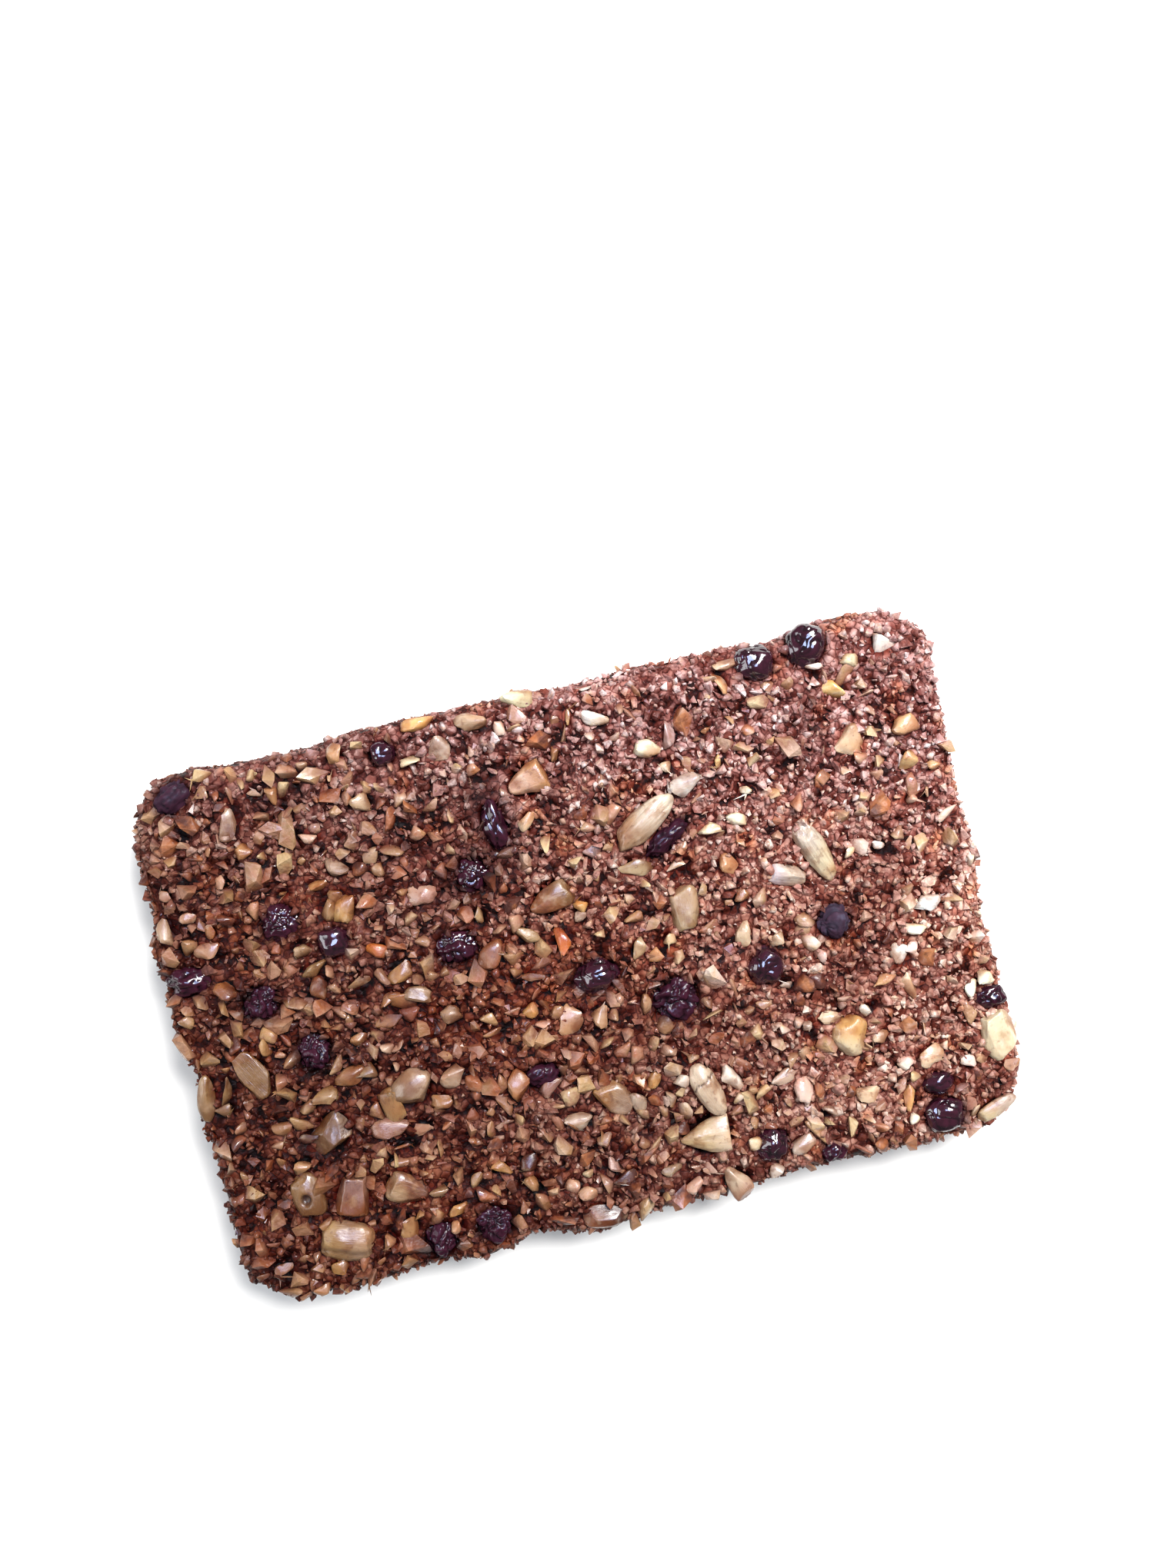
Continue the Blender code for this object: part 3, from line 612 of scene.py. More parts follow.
# Chips in the top, by kind: x, y, length and width in mm, and turn in degrees.
CHIPS: dict[Tone, tuple[tuple[float, float, float, float, float], ...]] = {
    Tone.PINK: (
        (-28.3, 21.2, 3.3, 2.5, -20), (-17.4, 11.8, 3.4, 2.2, 0), (-23.3, -14.6, 2.4, 1.8, 0),
        (-39.1, 18.4, 1.6, 1.4, 30), (-45.6, 18.4, 2.4, 1.5, -60), (-43.5, 15.5, 1.8, 1.4, 0),
        (-33.1, 27.3, 2.4, 1.9, 10), (-4.5, 28.9, 2.4, 1.2, 95), (16.8, 13.4, 2, 1.2, 10),
        (33, 26.7, 2.1, 1.7, 0), (-21.9, -27.1, 2, 1.4, 0), (-37.4, -2.4, 2, 1.4, 90),
        (-7.2, -6.2, 1.8, 1.2, 0), (3.5, -6.2, 1.6, 1, 0), (-8.4, -25.8, 2.1, 1.7, 0),
        (6, -29.6, 2.5, 2, 0), (37.6, -7.8, 1.7, 1.4, 0), (26.5, -6.4, 1.8, 1.4, 80),
        (41.5, -23, 2.2, 1.6, -40), (33.9, -21.4, 1.8, 1.5, 0), (21.2, -21.4, 3, 2.2, 80),
    ),
    Tone.TAN: (
        (-21.5, 23.7, 2.7, 2, -10), (-26.4, 3, 3.6, 2.1, 15), (-7.4, 29.9, 3.6, 1.9, -10),
        (35.6, 17.8, 3.7, 3.2, 40), (-12.7, -24.4, 3.7, 2.7, -25), (-3.8, -6.9, 3.5, 2.6, 70),
        (-0.6, -6.9, 3, 2, 80), (8.4, -14.5, 2.7, 2.1, 0), (18.4, -1.5, 3.3, 1.8, 62),
        (31.8, -17.4, 3.8, 1.8, 35), (37.2, -21, 3.4, 2.6, 0), (-32.6, 15.6, 1.9, 1.7, 0),
        (-21.9, 17.6, 2.1, 1.6, 50), (-27.1, 13.7, 2.2, 1.9, 70), (-44.6, 11.9, 2.4, 2, 40),
        (-46.9, 3.4, 2.1, 1.7, 80), (-24.6, 27.1, 2.4, 1.2, 85), (-3.8, 17.3, 2.2, 1.8, 80),
        (14.1, 19.8, 2.6, 2, 0), (22.6, 30, 2.6, 1.4, 5), (43.3, 9.8, 1.7, 1.4, 0),
        (-35.8, -9.2, 1.9, 1.6, 0), (-37.8, -15.6, 2.4, 1.8, 10), (-27.6, -25.8, 3, 2.2, 85),
        (-7.4, -0.6, 3, 2.6, -10), (4.8, -6.9, 2.4, 1.6, 85), (22.4, -3.3, 2.3, 1.8, 0),
        (26, -13.7, 3, 1.6, 5), (22.1, -17.4, 1.8, 1.4, 80), (36.4, -12.2, 3, 1.4, -70),
        (46.4, -24.4, 2, 1.6, 30), (28.7, -23.7, 2.6, 2.1, 0),
    ),
    Tone.GREY: (
        (-36.2, 25.1, 4.4, 2.3, 75), (-26.3, 17.1, 3.1, 2.3, -20), (23.3, -14.1, 3.4, 2.6, 80),
        (19.6, -27.8, 2.8, 2.1, 0), (-23.1, -22.4, 2.5, 2, 0), (1.6, -17.8, 2.8, 2.2, 85),
        (-3.1, -21.2, 1.9, 1.6, 0), (21.9, -8.7, 2.1, 1.7, 0), (23.3, -24.9, 2, 1.4, 0),
    ),
    Tone.PALE: (
        (-46.2, 14.4, 3, 2.5, 80), (-18.7, -9.6, 2.9, 2.4, 20), (36.2, -8.7, 3.7, 2.5, -60),
        (6.4, 31, 2, 1, 20), (36.4, 4.6, 2.1, 1.7, 0), (18.9, -19.2, 3, 1.6, 0),
    ),
    Tone.YELLOW_TAN: (
        (-26.2, 12.2, 3.2, 2.7, 60), (-21.9, 3.7, 3.4, 2.4, 20), (3.6, 28, 3, 2.3, 80),
        (19.8, 18.9, 2.9, 1.6, 10), (33.7, -25.3, 3.6, 1.7, 70), (41.7, 14.1, 2.4, 1.9, 30),
        (-21.9, -24.9, 2.6, 1.4, 10), (-36.4, -28.3, 1.9, 1.6, 0), (3.9, -15.8, 2.2, 1.8, 80),
        (-15.8, -21.7, 2.5, 2.1, 0),
    ),
    Tone.OLIVE_TAN: (
        (-31.4, 6.5, 3.2, 2.1, 10), (7.4, 9.1, 4.4, 2, -10), (-7, 4.4, 3.3, 1.7, -20),
        (-43.9, -4.9, 3.7, 2.6, 70), (-33.8, -8.4, 3.2, 1.9, 15), (-28.5, 12.3, 3.2, 2.4, 20),
        (-11.5, 7.8, 3, 1.8, 85), (-45.1, -7.3, 2.6, 1.6, 20), (-26.4, -11.4, 4, 2.6, 88),
        (5.5, 0.1, 2.6, 1.8, 85),
    ),
    Tone.ORANGE: (
        (-23.7, 6.9, 2.6, 1.9, -15), (-2.7, 2.8, 3.7, 2.5, 55), (-18.3, -17.8, 2, 1.4, 80),
    ),
    Tone.ORANGE_BROWN: (
        (-31.7, 3.9, 3, 2.6, 60), (-41.3, 6.4, 2.7, 2.3, 0), (-10.9, 3.2, 3.7, 2.7, 50),
        (18.9, 23.2, 1.5, 1.3, 0), (31.4, 14.4, 1.9, 1.5, 0), (-26, -16.2, 2.5, 2, 10),
    ),
    Tone.OLIVE_GREY: (
        (-20.6, 0.3, 3, 2.6, -35), (-17.4, -2.8, 3.8, 2.3, -40), (-32.3, 8.9, 2.6, 2.2, 0),
        (-28.1, -6.9, 2.6, 2.2, 0), (3.7, -27.1, 2.4, 1.6, 20),
    ),
    Tone.PINK_TAN: (
        (-42.3, 10.9, 3, 2.4, 20), (41.2, 9.3, 3.2, 1.9, -30), (-29.8, -26.5, 2.9, 2.1, 10),
        (-29.2, 28.9, 2.3, 1.8, -20), (45.3, 6.9, 2.8, 1.2, 30), (-42.4, -26.9, 3.4, 2.4, 20),
        (-6.3, -27.4, 2.6, 2.1, 10),
    ),
    Tone.YELLOW: (
        (-13.8, 31.1, 4.4, 1.6, 2), (0.3, 6.1, 2.4, 1.9, 60), (35.1, 24.1, 3.1, 2.7, 20),
        (-8.3, -4.4, 2.2, 1.8, 20),
    ),
    Tone.OLIVE_CREAM: (
        (-1.8, 31.2, 3.7, 2, 5), (37.4, 26.9, 2.3, 1.8, 0),
    ),
    Tone.WHITE_GREY: (
        (-11.6, 27.8, 2.9, 2.3, 70), (15.3, 17.3, 4, 2.5, 10), (41.5, 28.2, 3.7, 2.3, -35),
        (40.8, -3.1, 4.1, 1.9, 5), (-5.4, -18.4, 3.7, 2.3, -20), (13.1, -17.9, 3.3, 2, -60),
        (-0.2, 5, 1.5, 1.3, 0), (7.3, -16.9, 2, 1.6, 0), (16, -30.1, 1.9, 1.5, 0),
    ),
    Tone.WHITE: (
        (6.7, 27.1, 3.6, 1.8, -35), (12.4, 7.7, 3.6, 2.6, 20),
    ),
    Tone.CREAM: (
        (11.6, 22.3, 3.1, 2.2, -5), (16.9, 11.4, 3, 1.8, -5), (21.9, 15.1, 2.8, 2.3, 60),
        (38.2, -5.6, 2.8, 1.6, 0), (43.4, -14.7, 2.4, 1.9, 10), (-0.3, -30.7, 2.8, 2.1, 80),
        (-15, 26.9, 2.4, 1.4, 0), (20.3, 11.8, 2.4, 1.6, -10), (32.4, 5.1, 1.7, 1.4, 0),
        (-27.4, -17.8, 1.8, 1.2, 85), (-19, -21.9, 2.8, 1.8, 80), (9.3, -0.1, 2.2, 1.8, 80),
        (13.9, -26.2, 1.7, 1.4, 0), (-5.9, -24.8, 1.5, 1.2, 0), (31, -13.7, 2.3, 1.8, 0),
        (45.5, -13.7, 2.1, 1.6, 0), (33.5, -28.3, 1.6, 1.3, 0),
    ),
    Tone.ORANGE_TAN: (
        (17.9, 6.9, 3.7, 2.5, -10), (42.2, 18.2, 3, 2.4, 20), (-30.4, -6.9, 3.9, 2, 12),
        (-11.6, -12.3, 3.8, 2.4, 80), (-35.8, 21.3, 2, 1.8, 0), (-21.2, 15.7, 2, 1.5, 0),
        (-28.9, 15.5, 2.2, 1.8, -30), (-23.5, 0.5, 3, 2, 10), (-41.7, 13.2, 2.1, 1.7, 0),
        (-31.4, 26.9, 2.4, 1.6, 90), (-23.3, 29.8, 2.2, 1.8, 80), (1.2, 23.9, 2, 1, 90),
        (5.9, 3.5, 2.2, 1.7, 20), (21.9, 28, 2.6, 2, 80), (44.6, 12.8, 1.5, 1.3, 0),
        (18.9, 2.6, 2.2, 1.6, 85), (-20.6, -12.1, 2.3, 1.9, -20), (-38.7, -30.3, 2.4, 1.2, 0),
        (-22.4, 0.4, 3.6, 2, -35), (-28.1, -2.8, 2.1, 1.7, 0), (-24.4, -1.7, 3, 1.6, 10),
        (7.6, -1.5, 2.1, 1.7, 0), (33.5, -10.8, 3, 1.4, 20),
    ),
    Tone.MAUVE: (
        (-27, -13.9, 4.2, 2.3, -5), (14.4, 23.5, 3, 1.8, 88), (2.8, 11.9, 2.1, 1.8, 0),
        (-7.7, -13.9, 3, 2, 0), (-3.4, -24.7, 3, 2.2, -15), (39.6, -25.5, 2, 1.6, 10),
    ),
    Tone.RED_BROWN: (
        (-36.4, -12.8, 2.4, 2, 0), (-12.4, -21.7, 3, 2, 20), (-1.6, -26.5, 3, 2, 0),
    ),
}

# Bent skins and slivers that stand on edge in the top: x, y, length and width in mm, and turn and bend
# in degrees.
SKINS = (
    (-11.5, 24.1, 4.0, 0.9, 84, 50),
    (2.6, 3.1, 3.4, 1.0, 40, 110),
    (27.8, 13.0, 3.2, 1.0, 20, 70),
    (-23.9, -7.1, 3.4, 1.1, 6, 90),
    (6.8, 27.6, 3.4, 0.9, -30, 60),
    (-0.6, 0.9, 3.0, 0.9, 12, 150),
    (16.4, 20.8, 3.0, 0.9, 62, 60),
)


def smooth_step(values: np.ndarray, start: float, end: float) -> np.ndarray:
    """0 up to the start, 1 from the end on, and smooth between them. The end may be the lower one."""
    share = np.clip((values - start) / (end - start), 0.0, 1.0)
    return share * share * (3 - 2 * share)


@dataclass(frozen=True)
class Seat:
    """Where a piece sits in the top, as a turned ellipse in plan.

    Attributes:
        x: Its middle's x in metres.
        y: Its middle's y in metres.
        length: Its length in metres.
        width: Its width in metres.
        turn: Its turn in degrees.
        drop: How much deeper the crumb lies under it, in metres.
        clear: How near to its middle lumps may come, where 1 is its outline.
    """

    x: float
    y: float
    length: float
    width: float
    turn: float
    drop: float = 0.0
    clear: float = 0.0

    def distance(self, points: np.ndarray, gap: float = 0.0) -> np.ndarray:
        """How far each point is from the middle in plan.

        Args:
            points: The points in metres, one a row.
            gap: How much longer and wider than the seat the ellipse is, in metres.

        Returns:
            One number a point, where 1 is the ellipse's outline.
        """
        away_x = points[:, 0] - self.x
        away_y = points[:, 1] - self.y
        angle = math.radians(self.turn)
        along = (away_x * math.cos(angle) + away_y * math.sin(angle)) / ((self.length + gap) / 2)
        across = (away_y * math.cos(angle) - away_x * math.sin(angle)) / ((self.width + gap) / 2)
        return np.hypot(along, across)


# how deep kernels, berries and chips sit in metres, and how near lumps come to them
KERNEL_SEAT = (0.95 * MM, 0.86)
BERRY_SEAT = (1.5 * MM, 0.76)
CHIP_SEAT = (0.3 * MM, 0.74)


def berry_node(number: int) -> str:
    """The name of a berry's node by its number, from 1."""
    return f"berry_{number:02d}"


def middle(node: str) -> Vector:
    """The middle of a node's box."""
    low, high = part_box(node)
    return (Vector(low) + Vector(high)) / 2


def seat_of(node: str, held: Kernel | Berry, seat: tuple[float, ...] = ()) -> Seat:
    """The seat of a kernel or berry at its node, with this drop and clearance."""
    centre = middle(node)
    return Seat(centre.x, centre.y, held.length * MM, held.width * MM, held.turn, *seat)


def find_seats() -> list[Seat]:
    """Finds where everything sits in the top.

    Returns:
        The seats of the kernels, berries and chips.
    """
    seats = [seat_of(kernel.name, kernel, KERNEL_SEAT) for kernel in KERNELS]
    seats += [seat_of(berry_node(number), berry, BERRY_SEAT) for number, berry in enumerate(BERRIES, 1)]
    for rows in CHIPS.values():
        for x, y, length, width, turn in rows:
            seats.append(Seat(x * MM, y * MM, length * MM, width * MM, turn, *CHIP_SEAT))
    return seats


# ---------------------------------------------------------------- finishes


# lighter and darker places: middle x and y, radii along x and y in mm, and what colours are multiplied by
PATCHES: tuple[tuple[float, float, float, float, Colour], ...] = (
    (-24, -23, 13, 7, (1.30, 1.32, 1.20, 1.0)),
    (-41, 27, 9, 8, (1.25, 1.36, 1.40, 1.0)),
    (43, -9, 10, 11, (1.22, 1.36, 1.40, 1.0)),
    (7, -10, 15, 6, (0.78, 0.70, 0.66, 1.0)),
    (-13, 14, 8, 7, (0.88, 0.74, 0.72, 1.0)),
    (-32, 13, 11, 7, (1.20, 1.18, 1.12, 1.0)),
)


# the oily middle: its middle x and y and its radii along x and y in mm
OILY = (-9, -3, 24, 13)


def add_ellipse(tree: Tree, x: Socket, y: Socket, ellipse: tuple[float, ...]) -> Socket:
    """How far a place lies from an ellipse's middle: 0 there and 1 on the ellipse.

    Args:
        tree: The tree that the nodes go into.
        x: The place's x in metres.
        y: The place's y in metres.
        ellipse: Its middle's x and y and its radii along x and y, in mm.

    Returns:
        The distance's socket.
    """
    middle_x, middle_y, radius_x, radius_y = ellipse
    across = add_math(tree, "DIVIDE", minus(tree, x, middle_x * MM), radius_x * MM)
    along = add_math(tree, "DIVIDE", minus(tree, y, middle_y * MM), radius_y * MM)
    squares = (times(tree, across, across), times(tree, along, along))
    return add_math(tree, "SQRT", plus(tree, *squares))


def region_group() -> Tree:
    """The group that gives each place of the bar its tint, its oil and its darkness, partly painted light.

    Returns:
        A shader group with the outputs Tint and Shade, colours to multiply crumb and seeds by, and Oil and
        Light, both from 0 to 1. Light rises to the right.
    """
    outputs = {"Tint": "Color", "Oil": "Float", "Shade": "Color", "Light": "Float"}
    group = new_group("crumb_regions", "ShaderNodeTree", {"Place": "Vector"}, outputs)
    place = add_node(group, "NodeGroupInput").outputs[0]
    split = add_node(group, "ShaderNodeSeparateXYZ", {0: place})
    x, y = split.outputs[0], split.outputs[1]
    rightwards = plus(group, x, times(group, y, 0.7))
    # painted light: Tint and Shade darken towards the left along this share, partly the crumb's own browner
    # colour and partly a painted fall-off of light
    light = add_range(group, rightwards, -50 * MM, 45 * MM)
    tint = add_mix(group, light, srgb(159, 124, 103), (1.34, 1.50, 1.47, 1.0))
    shade = add_mix(group, light, srgb(170, 148, 125), (0.80, 0.80, 0.79, 1.0))
    backwards = plus(group, y, times(group, x, 0.25))
    mauve = add_range(group, backwards, 4 * MM, 30 * MM)
    tint = tinge(group, mauve, tint, (0.97, 1.03, 1.22, 1.0))
    away = add_ellipse(group, x, y, OILY)
    patchy = plus(group, add_noise(group, place, 4 * MM, 3.0), 0.55)
    oil = add_range(group, minus(group, patchy, away), 0.0, 0.75)
    brown = add_range(group, add_noise(group, place, 3.5 * MM, 2.0, 0.3), 0.48, 0.68)
    tawny = add_range(group, add_noise(group, place, 2.4 * MM, 1.0, 0.7), 0.55, 0.72)
    for patch, share, shade_share, colour in (
        (oil, 0.80, 0.45, srgb(216, 158, 112)),
        (brown, 0.60, 0.35, srgb(178, 142, 132)),
        (tawny, 0.75, 0.50, srgb(246, 196, 142)),
    ):
        tint = tinge(group, times(group, patch, share), tint, colour)
        shade = tinge(group, times(group, patch, shade_share), shade, colour)
    for *ellipse, colour in PATCHES:
        away = add_ellipse(group, x, y, ellipse)
        inside = add_range(group, away, 1.3, 0.3)
        tint = tinge(group, inside, tint, colour)
        shade = tinge(group, times(group, inside, 0.6), shade, colour)
    add_node(group, "NodeGroupOutput", {0: tint, 1: oil, 2: shade, 3: light})
    return group


ROUGHNESS = (0.42, 0.70)  # of the crumb, where it is smoothest and roughest


def wet_group() -> Tree:
    """The group for a wet, finely pitted surface.

    Returns:
        A shader group with the inputs Place and Oil and the outputs Height, Coat and Roughness.
    """
    outputs = dict.fromkeys(("Height", "Coat", "Roughness"), "Float")
    group = new_group("wet_surface", "ShaderNodeTree", {"Place": "Vector", "Oil": "Float"}, outputs)
    entry = add_node(group, "NodeGroupInput")
    place, oil = entry.outputs[0], entry.outputs[1]
    height = add_noise(group, place, 0.16 * MM, 3.0)
    wet = add_range(group, add_noise(group, place, 0.9 * MM, 2.0, 0.2), 0.45, 0.65)
    coat = plus(group, times(group, wet, 0.5), times(group, oil, 0.3))
    rough = add_range(group, add_noise(group, place, 0.5 * MM, 2.0, 0.5), 0.3, 0.7, *ROUGHNESS)
    add_node(group, "NodeGroupOutput", {0: height, 1: coat, 2: rough})
    return group


CLUSTER = 1.8 * MM  # how wide the clusters are that grains stick together in


def cell_group() -> Tree:
    """The group for crumb made of tiny pressed grains.

    Returns:
        A shader group with the inputs Place and Per Metre, the grains' number in a metre, and the outputs
        Dome, a grain's height, Seam, 1 between grains, Tone, from 0 to 1 and the same all over a grain, and
        Cluster and Gap, the same for the broad clusters that grains stick together in.
    """
    outputs = dict.fromkeys(("Dome", "Seam", "Tone", "Cluster", "Gap"), "Float")
    inputs = {"Place": "Vector", "Per Metre": "Float"}
    group = new_group("pressed_grains", "ShaderNodeTree", inputs, outputs)
    entry = add_node(group, "NodeGroupInput")
    place, count = entry.outputs[0], entry.outputs[1]
    warp = {"Vector": place, "Scale": 1.0 / MM, "Detail": 2.0}
    drift = add_node(group, "ShaderNodeTexNoise", warp).outputs[1]
    drift = add_vector(group, "SCALE", add_vector(group, "SUBTRACT", drift, (0.5, 0.5, 0.5)), 0.7 * MM)
    place = add_vector(group, "ADD", place, drift)
    grains = {"Vector": place, "Scale": count}
    cells = add_node(group, "ShaderNodeTexVoronoi", grains)
    edges = add_node(group, "ShaderNodeTexVoronoi", grains, feature="DISTANCE_TO_EDGE")
    dome = add_range(group, cells.outputs["Distance"], 0.75, 0.0)
    seam = add_range(group, edges.outputs["Distance"], 0.14, 0.02)
    tone = add_node(group, "ShaderNodeSeparateXYZ", {0: cells.outputs["Color"]}).outputs[0]
    broad = {"Vector": place, "Scale": 1 / CLUSTER}
    clusters = add_node(group, "ShaderNodeTexVoronoi", broad)
    cluster = add_node(group, "ShaderNodeSeparateXYZ", {0: clusters.outputs["Color"]}).outputs[0]
    gaps = add_node(group, "ShaderNodeTexVoronoi", broad, feature="DISTANCE_TO_EDGE")
    gap = add_range(group, gaps.outputs["Distance"], 0.16, 0.02)
    add_node(group, "NodeGroupOutput", {0: dome, 1: seam, 2: tone, 3: cluster, 4: gap})
    return group


@dataclass(frozen=True)
class CrumbFinish:
    """The pressed crumb's finish.

    Attributes:
        name: The material's name.
        share: The attribute that the colours follow.
        stops: The colours for that attribute from 0 to 1.
        bump: How deep the fine pits look, in metres.
        coat_roughness: How sharp the wet highlights are.
        specular: How much the dry surface shines.
        wetness: How much of the wet surface's coat it takes.
        grain: How wide the tiny pressed grains in it are, in metres.
        grain_share: How much those grains vary its colour.
        grain_rise: How high they stand, in metres.
        seam: How much darker it is between them, as painted shade.
        patchiness: How much broad patches vary its colour.
        clustering: How much the colour changes from cluster to cluster, and darkens between them as painted
            shade.
        pore: What the colours are multiplied by at the bottom of the pores, as painted shade.
        rim: How much it is stained where it meets the crumb round it.
        region: Which output of the regions tints it.
    """

    name: str
    share: str
    stops: tuple[tuple[float, Colour], ...]
    bump: float = 0.05 * MM
    coat_roughness: float = 0.16
    specular: float = 0.4
    wetness: float = 1.0
    grain: float = 0.55 * MM
    grain_share: float = 0.35
    grain_rise: float = 0.08 * MM
    seam: float = 0.2
    patchiness: float = 0.9
    clustering: float = 0.45
    pore: Colour = srgb(150, 62, 44)
    rim: float = 0.0
    region: str = "Tint"

    # painted shade: the next two darken the colours in the crevices between the grains and between the
    # clusters
    SEAM = srgb(128, 74, 64)  # what the colours are multiplied by between the tiny grains,
    GAP = srgb(130, 70, 58)  # between the clusters,
    RIGHT_PORE_SHADE = srgb(196, 132, 114)  # at the bottom of the pores at the right,
    RIM = srgb(172, 106, 82)  # at the rim
    JUICE = srgb(112, 70, 88)  # and where a berry's juice has soaked in
    JUICE_SHARE = 0.9

    def build(self, regions: Tree, wet: Tree, cells: Tree) -> Material:
        """Makes the material.

        Args:
            regions: The group that tints each place.
            wet: The group for the wet surface.
            cells: The group for the tiny pressed grains.

        Returns:
            The material.
        """
        material, tree, shader = new_material(self.name)
        place = add_node(tree, "ShaderNodeTexCoord").outputs["Object"]
        region = add_node(tree, "ShaderNodeGroup", {0: place}, node_tree=regions)
        oil = region.outputs["Oil"]
        surface = add_node(tree, "ShaderNodeGroup", {0: place, 1: oil}, node_tree=wet)
        grains = add_node(tree, "ShaderNodeGroup", {0: place, 1: 1 / self.grain}, node_tree=cells)
        mottle = times(tree, minus(tree, add_noise(tree, place, 0.5 * MM), 0.5), 0.4)
        patch = minus(tree, add_noise(tree, place, 1.6 * MM, 1.0, 1.3), 0.5)
        uneven = plus(tree, mottle, times(tree, patch, self.patchiness))
        for output, share in (("Tone", self.grain_share), ("Cluster", self.clustering)):
            stray = minus(tree, grains.outputs[output], 0.5)
            uneven = plus(tree, uneven, times(tree, stray, share))
        share = add_math(tree, "ADD", add_attribute(tree, self.share), uneven, clamp=True)
        colour = add_ramp(tree, share, self.stops)
        # painted shade between the grains and between the clusters
        colour = tinge(tree, times(tree, grains.outputs["Seam"], self.seam), colour, self.SEAM)
        colour = tinge(tree, times(tree, grains.outputs["Gap"], self.clustering), colour, self.GAP)
        colour = tinge(tree, 1.0, colour, region.outputs[self.region])
        # painted shade: the colours darken with depth under the ground's surface, less so at the right
        depth = add_attribute(tree, "depth")
        darkened = add_mix(tree, region.outputs["Light"], self.pore, self.RIGHT_PORE_SHADE)
        colour = tinge(tree, depth, colour, darkened)
        colour = tinge(tree, times(tree, add_attribute(tree, "rim"), self.rim), colour, self.RIM)
        juice = times(tree, add_attribute(tree, "juice"), self.JUICE_SHARE)
        colour = tinge(tree, juice, colour, self.JUICE)
        coat = times(tree, surface.outputs["Coat"], self.wetness)
        open_air = add_range(tree, depth, 0.35, 0.0)
        domes = times(tree, grains.outputs["Dome"], self.grain_rise)
        height = plus(tree, domes, times(tree, surface.outputs["Height"], self.bump))
        bump = add_node(tree, "ShaderNodeBump", {"Height": height, "Distance": 1.0, "Strength": 1.0})
        looks = {
            "Base Color": colour,
            "Coat Weight": times(tree, coat, open_air),
            "Specular IOR Level": self.specular,
            "Roughness": surface.outputs["Roughness"],
            "Coat Roughness": self.coat_roughness,
            "Normal": bump.outputs[0],
        }
        feed(tree, shader, looks)
        return material


@dataclass(frozen=True)
class SeedFinish:
    """The finish of chips and kernels: each point's own colour, with stain and painted shade where it sinks
    into the crumb.

    Attributes:
        name: The material's name.
        subsurface: How much light goes through the flesh.
        coat: How wet the wettest places are.
        juice_stain_and_shade: What the colours are multiplied by low down, where the crumb's juice has
            soaked in and as painted shade.
        blotch: The same for broad brown blotches.
        fleck: The same for small flecks.
        pale: The colour of paler, scraped places.
    """

    name: str = "seed_flesh"
    subsurface: float = 0.30
    coat: float = 0.65
    juice_stain_and_shade: Colour = srgb(172, 124, 94)
    blotch: Colour = srgb(200, 158, 128)
    fleck: Colour = srgb(154, 102, 78)
    pale: Colour = srgb(226, 212, 196)

    def build(self, regions: Tree) -> Material:
        """Makes the material from the attributes tint and own, a piece's own coordinates from -1 to 1.

        Args:
            regions: The group that tints each place.

        Returns:
            The material.
        """
        material, tree, shader = new_material(self.name)
        place = add_node(tree, "ShaderNodeTexCoord").outputs["Object"]
        own = add_attribute(tree, "own", "Vector")
        low = add_node(tree, "ShaderNodeSeparateXYZ", {0: own}).outputs[2]
        mottle = times(tree, minus(tree, add_noise(tree, place, 0.8 * MM, 3.0), 0.5), 2.0)
        # partly painted shade: each piece is darker low down, where it sinks into the crumb
        sunk = add_range(tree, plus(tree, low, mottle), 0.70, -0.30)
        colour = tinge(tree, times(tree, sunk, 0.8), add_attribute(tree, "tint", "Color"), self.juice_stain_and_shade)
        blotch = add_range(tree, add_noise(tree, place, 1.3 * MM, 3.0, 1.7), 0.50, 0.66)
        colour = tinge(tree, times(tree, blotch, 0.60), colour, self.blotch)
        fleck = add_range(tree, add_noise(tree, place, 0.35 * MM, 2.0, 0.4), 0.58, 0.70)
        colour = tinge(tree, times(tree, fleck, 0.40), colour, self.fleck)
        pale = add_range(tree, add_noise(tree, place, 0.7 * MM, 2.0, 0.9), 0.54, 0.75)
        colour = add_mix(tree, times(tree, pale, 0.35), colour, self.pale)
        region = add_node(tree, "ShaderNodeGroup", {0: place}, node_tree=regions)
        lengthways = {0: own, 1: (1.0, 5.0, 5.0)}
        grain = add_node(tree, "ShaderNodeVectorMath", lengthways, operation="MULTIPLY").outputs[0]
        fibres = {"Vector": grain, "Scale": 2.4, "Detail": 3.0}
        stripe = add_node(tree, "ShaderNodeTexNoise", fibres).outputs[0]
        height = plus(tree, stripe, times(tree, add_noise(tree, place, 0.14 * MM, 2.0), 0.4))
        height = plus(tree, height, times(tree, add_noise(tree, place, 0.6 * MM, 1.0, 2.1), 1.6))
        bump = {"Height": height, "Distance": 0.08 * MM, "Strength": 0.5}
        wet = add_noise(tree, place, 0.9 * MM, 2.0, 0.2)
        rough = add_noise(tree, place, 1.2 * MM, 2.0, 0.1)
        looks = {
            "Base Color": tinge(tree, 1.0, colour, region.outputs["Shade"]),
            "Subsurface Weight": self.subsurface,
            "Subsurface Radius": (1.0, 0.6, 0.35),
            "Subsurface Scale": 0.6 * MM,
            "Coat Weight": add_range(tree, wet, 0.45, 0.65, 0.1, self.coat),
            "Coat Roughness": 0.14,
            "Roughness": add_range(tree, rough, 0.35, 0.65, 0.30, 0.52),
            "Normal": add_node(tree, "ShaderNodeBump", bump).outputs[0],
        }
        feed(tree, shader, looks)
        return material


